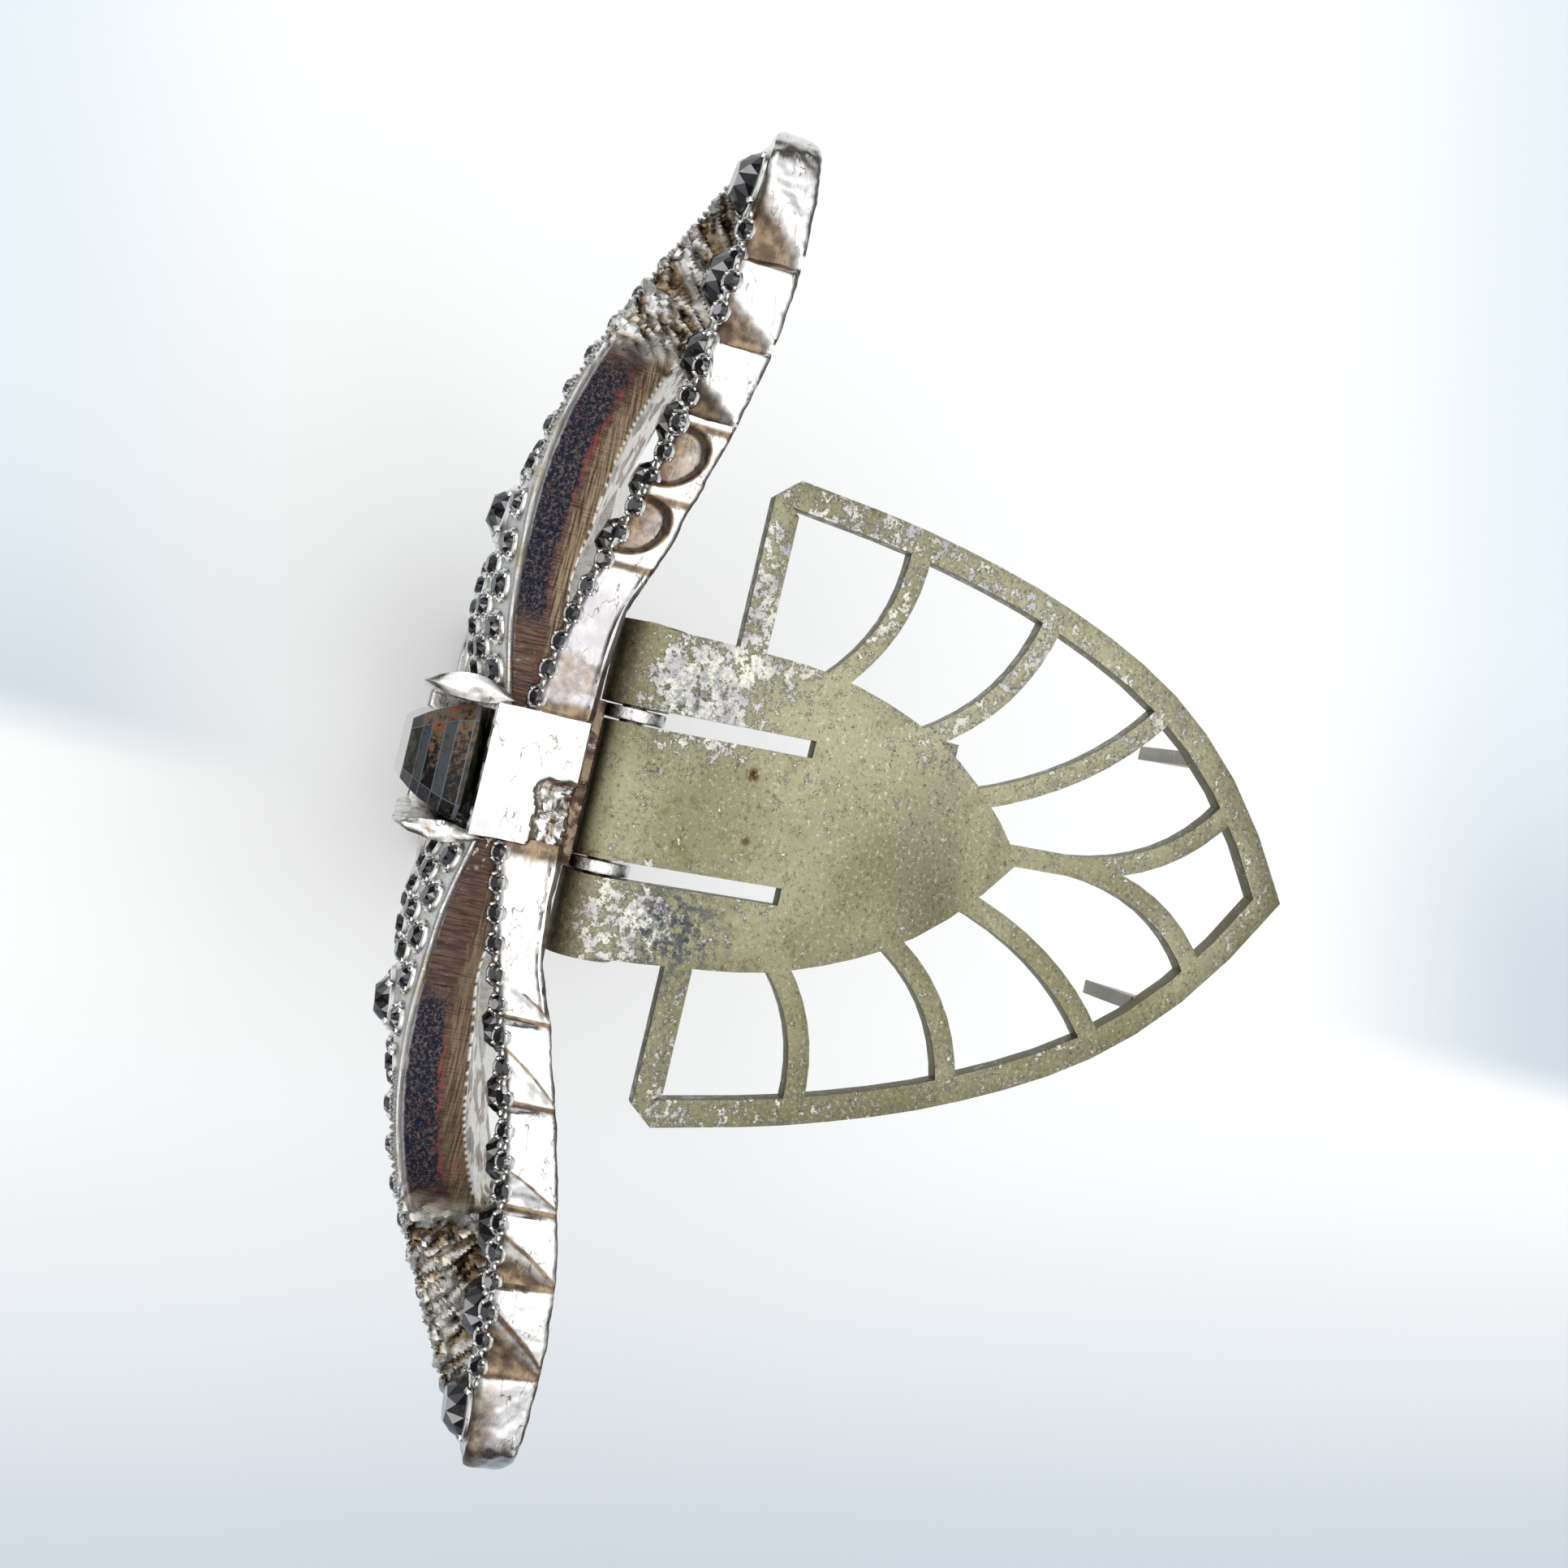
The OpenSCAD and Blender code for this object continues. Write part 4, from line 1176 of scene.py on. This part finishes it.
class OBJECT_OT_clip_block(ClipOperator, bpy.types.Operator):
    """Build the block behind the centre stone, its ledge and its two claws"""

    bl_idname = "object.clip_block"
    bl_label = "Centre Block"

    def notch(self, x, y):
        """How deep the crumpled corner lies below the block's top."""
        along = ease(-0.2, 0.35, x + 0.25 * noise.noise(Vector((0, y * 1.5, 3))))
        across = ease(-2.15, -1.75, y + 0.3 * noise.noise(Vector((x * 1.2, 5, 0))))
        return along * across * (1 + 0.35 * cloud(x * 1.4, y * 1.4, 1.7, 0.8, 2.0, 4))

    def crumpled(self, co):
        """Share of the crumpled relief, which lies in the notch and near the top only."""
        return ease(0.15, 0.8, self.notch(co.x, co.y)) * ease(34.0, 36.0, co.z)

    def ring(self, x):
        """Profile of the block: top with rounded edges and the notch, back, underside, front."""
        top = BLOCK_TOP - rounding(BLOCK_HALF - abs(x), 0.14)
        points = []
        for y in steps(BLOCK_FRONT, BLOCK_BACK, 44):
            edge = rounding(min(y - BLOCK_FRONT, BLOCK_BACK - y), 0.12)
            points.append(Vector((x, y, top - edge - NOTCH_DEPTH * self.notch(x, y))))
        return close(points, BLOCK_TOP - BLOCK_DEPTH, 30, 8)

    def claw(self, side):
        """Leaf-shaped cheek of the centre stone; the left one is wider and smoother."""
        flare = 1.0 if side < 0 else 0.0
        low, reach = BLOCK_TOP - CLAW_DEPTH, CLAW_HALF_LENGTH - 0.01
        rings = []
        for y in steps(CLAW_AT - reach, CLAW_AT + reach, 40):
            bow = 1 - ((y - CLAW_AT) / CLAW_HALF_LENGTH) ** 2
            width = CLAW_HALF_WIDTH * bow * (1.0 + 0.35 * flare)
            high = BLOCK_TOP + 0.02 - CLAW_DROOP * (1 - bow)
            middle = CLAW_ASIDE + 0.16 * flare * bow
            ring = [Vector((middle - width, y, low))]
            extend(ring, (middle - width, y, high), 24)
            for a in steps(0.0, 1.0, 12)[1:]:
                lift = CLAW_CROWN * math.sin(math.pi * a)
                ring.append(Vector((middle + blend(-width, width, a), y, high + lift)))
            extend(ring, (middle + width, y, low), 24)
            rings.append(ring + [ring[0].copy()])
        bm, recess = layered("recess")
        loft(bm, rings)
        for v in bm.verts:
            narrowed = 1 - CLAW_TAPER * (BLOCK_TOP - v.co.z) / CLAW_DEPTH
            v.co.y = CLAW_AT + (v.co.y - CLAW_AT) * narrowed
        mirror_over(bm, side)
        roughen(bm, blend(0.06, 0.015, flare), (1.6, 1.6, 1.2), 6 + side, tone=recess)
        for v in bm.verts:
            v[recess] *= 0.5
        return bm

    def execute(self, context):
        bm, recess, veil_and_shade = layered("recess", "veil_and_shade")
        loft(bm, [self.ring(x) for x in steps(-BLOCK_HALF, BLOCK_HALF, 64)])
        for v in bm.verts:
            x, y, z = v.co
            deep = self.notch(x, y)
            fold = ease(0.15, 0.4, cloud(x * 0.7, y * 3.0, 2.0, 0.8, 2.0))
            inside = (0.32 + 0.5 * fold) * ease(0.2, 0.5, deep)
            top = max(1.1 * bell(deep - 0.28, 0.16), inside)
            v[recess] = 0.35 if z < BLOCK_TOP - 2 else top
            # Painted shade: lilac darkens the lower front corner of the block's top
            v[veil_and_shade] = 0.75 * ease(0.9, 2.2, x) * ease(-2.2, -3.8, y)
        roughen(bm, 0.10, (0.7, 2.6, 1.2), 2, self.crumpled, turn=60)
        roughen(bm, 0.04, (0.7, 0.7, 0.7), 5)
        piece(bm, "centre_block", "block_plate")
        for side, name in SIDES:
            piece(self.claw(side), f"claw_{name}", "block_plate")
        bm = bmesh.new()
        box(bm, LEDGE_SIZE, LEDGE_CENTRE)
        bevel(bm, bm.edges, 0.25, 3)
        bmesh.ops.subdivide_edges(bm, edges=bm.edges, cuts=3, use_grid_fill=True)
        roughen(bm, 0.05, (1.2, 1.2, 1.2), 8)
        piece(bm, "ledge", "cast_plate")
        return {"FINISHED"}


class OBJECT_OT_clip_lower_front(ClipOperator, bpy.types.Operator):
    """Build the lower ribbons, leaves, keel and scrolls that the clip stands on"""

    bl_idname = "object.clip_lower_front"
    bl_label = "Lower Front"

    def ring(self, table, z):
        """Outline of a strip at a height: left side, face with its rims, right side and back."""
        centre, half, back = (curve(table, column, z) for column in (1, 2, 4))
        points = [Vector((centre - half, back, z))]
        extend(points, (centre - half, strip_face(table, centre - half, z), z), 12)
        for s in steps(0.0, 1.0, 36)[1:]:
            x = blend(centre - half, centre + half, s)
            rim = ease(0.10, 0.05, s) * ease(0.0, 0.04, s)
            rim += ease(0.90, 0.95, s) * ease(1.0, 0.96, s)
            points.append(Vector((x, strip_face(table, x, z) - STRIP_RIM * rim, z)))
        extend(points, (centre + half, back, z), 12)
        extend(points, points[0], 12)
        return points

    def strip(self, table, name, side=1, leaf=False):
        """Domed strip of the lower front; a leaf has a middle groove and slanting veins."""
        bm, recess = layered("recess")
        loft(bm, [self.ring(table, z) for z in steps(table[0][0], table[-1][0], 110)])
        for v in bm.verts:
            centre, half, front = (curve(table, column, v.co.z) for column in (1, 2, 3))
            off = abs(v.co.x - centre) / half
            if v.co.y >= front - 0.001:
                v[recess] = 0.25
            elif leaf:
                v.co.y += LEAF_GROOVE * (1 - ease(0.0, 0.12, off))
                fan = math.sin((v.co.z + 2.2 * off * half) * 4.2)
                v.co.y += LEAF_VEIN * ease(0.1, 0.3, off) * ease(0.95, 0.8, off) * fan
                v[recess] = 0.5 - 0.35 * fan + 0.6 * (1 - ease(0.0, 0.15, off))
            else:
                v[recess] = 0.55 * ease(0.95, 0.8, off)
        mirror_over(bm, side)
        roughen(bm, 0.06, (0.9, 0.9, 0.9), 11 + side)
        piece(bm, name, "cast_plate")

    def coil(self, bm, side):
        """Wire that winds inwards on the front of a scroll, above its cut underside."""
        x, _, z = FOOT_ROUNDS[0][0]
        path = []
        for s in steps(0.0, 1.0, 90):
            a, r = math.tau * COIL_TURNS * s, blend(*COIL_RADII, s)
            at = Vector((side * (x + r * math.cos(a)), FOOT_FRONT - 0.02, z + r * math.sin(a)))
            if at.z > COIL_LOWEST:
                path.append((at, blend(*COIL_WIRE, s)))
        rings = []
        for i, (at, wire) in enumerate(path):
            ahead, behind = path[min(i + 1, len(path) - 1)][0], path[max(i - 1, 0)][0]
            out = (ahead - behind).normalized().cross(Vector((0, 1, 0)))
            rings.append([
                at + out * wire * math.cos(b) + Vector((0, wire * math.sin(b), 0))
                for b in steps(0.0, math.tau, 10)
            ])
        loft(bm, rings)

    def scrolls(self):
        """Rounds of the foot, cut flat where the clip stands, with a coil on each scroll."""
        bm, recess = layered("recess")
        upright = Matrix.Rotation(math.pi / 2, 4, "X")
        for centre, radius, depth in FOOT_ROUNDS:
            rod(bm, radius, depth, Matrix.Translation(centre) @ upright, 72)
        bevel(bm, corners(bm), 0.3, 3)
        bmesh.ops.bisect_plane(
            bm, geom=bm.verts[:] + bm.edges[:] + bm.faces[:], plane_co=(0, 0, FOOT_CUT),
            plane_no=(0, 0, -1), clear_outer=True,
        )
        bmesh.ops.holes_fill(bm, edges=[e for e in bm.edges if e.is_boundary], sides=0)
        for side, _ in SIDES:
            self.coil(bm, side)
        bmesh.ops.recalc_face_normals(bm, faces=bm.faces)
        for v in bm.verts:
            v[recess] = 0.5 if abs(v.co.y - FOOT_FRONT) < 0.01 else 0.2
        piece(bm, "foot_scrolls", "cast_plate")

    def execute(self, context):
        for side, name in SIDES:
            self.strip(TAIL, f"lower_ribbon_{name}", side)
            self.strip(LEAF, f"leaf_{name}", side, leaf=True)
        self.strip(KEEL, "keel")
        self.scrolls()
        return {"FINISHED"}


class OBJECT_OT_clip_bracket(ClipOperator, bpy.types.Operator):
    """Build the hinge bracket, which completes the frame, and the hinge pin"""

    bl_idname = "object.clip_bracket"
    bl_label = "Hinge Bracket and Pin"

    def axle(self, x):
        return Matrix.Translation((x, PIN_Y, PIN_Z)) @ Matrix.Rotation(math.pi / 2, 4, "Y")

    def execute(self, context):
        bm = bmesh.new()
        box(bm, BRACKET_SIZE, BRACKET_CENTRE)
        for side, _ in SIDES:
            ear = FLAP_SHIFT + side * EAR_AT
            box(bm, EAR_ROOT, (ear, EAR_ROOT_Y, PIN_Z - EAR_ROOT_DROP))
            rod(bm, EAR_RADIUS, EAR_WIDTH, self.axle(ear), 48)
        bevel(bm, corners(bm), 0.07, 2)
        piece(bm, "hinge_bracket", "bracket_plate", nodes=("frame",))
        bm = bmesh.new()
        rod(bm, PIN_RADIUS, PIN_LENGTH, self.axle(FLAP_SHIFT), 32)
        bevel(bm, corners(bm), 0.12, 3)
        piece(bm, "pin", "drawn_wire", nodes=("hinge_pin",))
        return {"FINISHED"}


class OBJECT_OT_clip_flap(ClipOperator, bpy.types.Operator):
    """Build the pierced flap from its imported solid, with rounded edges"""

    bl_idname = "object.clip_flap"
    bl_label = "Pierced Flap"

    def execute(self, context):
        bm = bmesh.new()
        bm.from_mesh(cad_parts["flap"].data)
        bmesh.ops.scale(bm, vec=Vector((1 / METRE,) * 3), verts=bm.verts)
        bmesh.ops.remove_doubles(bm, verts=bm.verts, dist=0.002)
        bmesh.ops.dissolve_limit(bm, angle_limit=math.radians(1.0), verts=bm.verts, edges=bm.edges)
        bevel(bm, corners(bm, 0.7), mm(sizes().edge), 2, clamp=True)
        bmesh.ops.triangulate(bm, faces=bm.faces)
        # Steepness of each face, for painted shade on the sheet's walls; -1 marks the teeth
        wall = bm.faces.layers.float.new("wall")
        for face in bm.faces:
            spot = face.calc_center_median()
            tooth = spot.y > TOOTH_PAST and spot.z < FLAP_TOP - TOOTH_BELOW
            face[wall] = -1.0 if tooth else 1 - ease(0.35, 0.9, face.normal.z)
        piece(bm, "pierced_flap", "flap_tarnish", "flap", ("flap",), 28.0)
        return {"FINISHED"}


class OBJECT_OT_clip_centre_stone(ClipOperator, bpy.types.Operator):
    """Build the step-cut centre stone"""

    bl_idname = "object.clip_centre_stone"
    bl_label = "Centre Stone"

    def ring(self, y, aside, end, cut):
        """Eight-sided outline of the stone at a depth."""
        w, h = STONE_HALF_WIDTH - aside, STONE_HALF_HEIGHT - end
        outline = (
            (w, cut - h), (w, h - cut), (w - cut, h), (cut - w, h),
            (-w, h - cut), (-w, cut - h), (cut - w, -h), (w - cut, -h), (w, cut - h),
        )
        return [Vector((x, y, STONE_MIDDLE + z)) for x, z in outline]

    def tone(self, face):
        """What a facet shows: 0 smoke, 0.5 foil, 1 sky, and more on the fine worn edges."""
        depth = face.calc_center_median().y
        if depth < -4.8 and face.calc_area() < 0.06 * face.calc_perimeter():
            return 1.4
        tone = next((tone for y, *_, tone in reversed(STONE_STEPS) if y >= depth - 1e-4), 0.0)
        return min(tone, 0.5) if abs(face.normal.x) > 0.3 else tone

    def execute(self, context):
        bm = loft(bmesh.new(), [self.ring(*step) for *step, _ in STONE_STEPS])
        bevel(bm, bm.edges, 0.022, 1)
        bm.normal_update()
        layer = bm.faces.layers.float.new("tone")
        for face in bm.faces:
            face[layer] = self.tone(face)
        nodes = ("centre_stone",)
        piece(bm, "step_cut_stone", "smoky_glass", nodes=nodes, sharp=0)
        return {"FINISHED"}


class OBJECT_OT_clip_round_stones(ClipOperator, bpy.types.Operator):
    """Build every round stone and the settings that hold them"""

    bl_idname = "object.clip_round_stones"
    bl_label = "Round Stones and Settings"

    def gems(self, stones_name, rings_name, places, radius, wire, side, slot, node):
        """Stones at their seats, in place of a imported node, and the rings that hold them."""
        lifted = [place @ Matrix.Translation((0, 0, STONE_LIFT)) for place in places]
        stones = mirror_over(add_copies(bmesh.new(), cut_stone(radius), lifted), side)
        glints(stones)
        piece(stones, stones_name, "dark_glass", nodes=(node,), sharp=0)
        rings = mirror_over(add_copies(bmesh.new(), setting(radius, wire), places), side)
        piece(rings, rings_name, "bright_plate")

    def field(self, name, face, seats, radius, side=1):
        """Small stones over a front face, as one piece."""
        places = [on_face(face, x, z) for x, z in seats]
        names = f"stones_{name}", f"settings_{name}"
        wire = mm(sizes().wire)
        self.gems(*names, places, radius, wire, side, "pave_stone", f"pave_{name}")

    def single(self, kind, name, place, radius, wire, side):
        """One larger stone, as a piece of its own."""
        gem, node = f"{kind}_gem_{name}", f"{kind}_stone_{name}"
        self.gems(gem, f"setting_{gem}", [place], radius, wire, side, "dark_stone", node)

    def execute(self, context):
        tail, keel = partial(strip_face, TAIL), partial(strip_face, KEEL)
        for side, name in SIDES:
            self.field(f"wing_{name}", ribbon_face, wing_seats(), SMALL_STONE, side)
            seats = strip_seats(TAIL, 7.8, 17, 3, SMALL_STONE)
            self.field(f"lower_{name}", tail, seats, SMALL_STONE, side)
            place = on_face(ribbon_face, *dome_seat())
            self.single("dome", name, place, DOME_STONE, 0.17, side)
            for n, (start, end) in enumerate(zip(GROOVES, GROOVES[1:]), 1):
                x, radius = (end + start) / 2, min(1.2, 0.36 * (end - start))
                place = on_face(border_face, x, border_top(x) - radius - 0.6)
                self.single("border", f"{name}_{n}", place, radius, 0.15, side)
        self.field("keel", keel, strip_seats(KEEL, 5.2, 10, 1, KEEL_STONE), KEEL_STONE)
        return {"FINISHED"}


class OBJECT_OT_clip_stage(ClipOperator, bpy.types.Operator):
    """Set the pale floor, the soft lights and the camera"""

    bl_idname = "object.clip_stage"
    bl_label = "Stage"

    def floor(self):
        bm = bmesh.new()
        bmesh.ops.create_grid(bm, x_segments=1, y_segments=1, size=FLOOR_HALF)
        new_object("floor", to_mesh(bm, "floor", "pale_floor"))

    def lamp(self, name, spot, aim, width, power, tint):
        """Soft round light that faces its aim."""
        lamp = bpy.data.lights.new(name, "AREA")
        lamp.shape, lamp.size, lamp.energy, lamp.color = "DISK", width, power, tint
        made = new_object(name, lamp)
        made.location = spot
        made.rotation_mode = "QUATERNION"
        made.rotation_quaternion = (Vector(aim) - Vector(spot)).to_track_quat("-Z", "Y")

    def sky(self):
        """White tent over a dark room, for the metal to reflect."""
        world = bpy.data.worlds.new("studio")
        world.use_nodes = True
        tree = world.node_tree
        heading = Wear(put(tree, "ShaderNodeTexCoord").outputs["Generated"])
        height = Wear(put(tree, "ShaderNodeSeparateXYZ", {0: heading}).outputs["Z"])
        made = put(tree, "ShaderNodeValToRGB", {0: height})
        ramp = made.color_ramp
        ramp.interpolation = "EASE"
        for at, tint in SKY:
            ramp.elements.new(at).color = (*tint, 1.0)
        ramp.elements.remove(ramp.elements[0])
        ramp.elements.remove(ramp.elements[-1])
        background = tree.nodes["Background"]
        tree.links.new(made.outputs["Color"], background.inputs["Color"])
        background.inputs["Strength"].default_value = SKY_STRENGTH
        return world

    def camera(self):
        right, back = (Vector(axis).normalized() for axis in (CAMERA_RIGHT, CAMERA_BACK))
        up = back.cross(right)
        camera = bpy.data.cameras.new("portrait")
        camera.sensor_width, camera.lens = 36.0, CAMERA_LENS
        camera.clip_start, camera.clip_end = 0.005, 5.0
        made = new_object("portrait", camera)
        turn = Matrix((up.cross(back), up, back)).transposed().to_4x4()
        made.matrix_world = Matrix.Translation(Vector(CAMERA_PLACE) * METRE) @ turn
        return made

    def execute(self, context):
        scene = context.scene
        self.floor()
        for lamp in LAMPS:
            self.lamp(*lamp)
        scene.world = self.sky()
        scene.view_settings.view_transform = "Standard"
        scene.camera = self.camera()
        return {"FINISHED"}


PIECE_OPERATORS = (
    OBJECT_OT_clip_ribbons,
    OBJECT_OT_clip_borders,
    OBJECT_OT_clip_block,
    OBJECT_OT_clip_lower_front,
    OBJECT_OT_clip_bracket,
    OBJECT_OT_clip_flap,
    OBJECT_OT_clip_centre_stone,
    OBJECT_OT_clip_round_stones,
    OBJECT_OT_clip_stage,
)


class VIEW3D_PT_dress_clip(bpy.types.Panel):
    """Lists the clip's pieces with the sizes and colours they use"""

    bl_label = "Dress Clip"
    bl_idname = "VIEW3D_PT_dress_clip"
    bl_space_type = "VIEW_3D"
    bl_region_type = "UI"
    bl_category = "Dress Clip"

    def draw(self, context):
        column = self.layout.column(align=True)
        for operator in PIECE_OPERATORS:
            column.operator(operator.bl_idname)
        for group in (context.scene.clip_sizes, context.scene.clip_colours):
            panel = self.layout.box()
            for name in group.__annotations__:
                panel.prop(group, name)


CLASSES = (ClipSizes, ClipColours, *PIECE_OPERATORS, VIEW3D_PT_dress_clip)


def register():
    for item in CLASSES:
        bpy.utils.register_class(item)
    bpy.types.Scene.clip_sizes = PointerProperty(type=ClipSizes)
    bpy.types.Scene.clip_colours = PointerProperty(type=ClipColours)


def unregister():
    del bpy.types.Scene.clip_colours
    del bpy.types.Scene.clip_sizes
    for item in reversed(CLASSES):
        bpy.utils.unregister_class(item)


def main():
    register()
    for operator in PIECE_OPERATORS:
        category, action = operator.bl_idname.split(".")
        getattr(getattr(bpy.ops, category), action)()


if __name__ == "__main__":
    main()
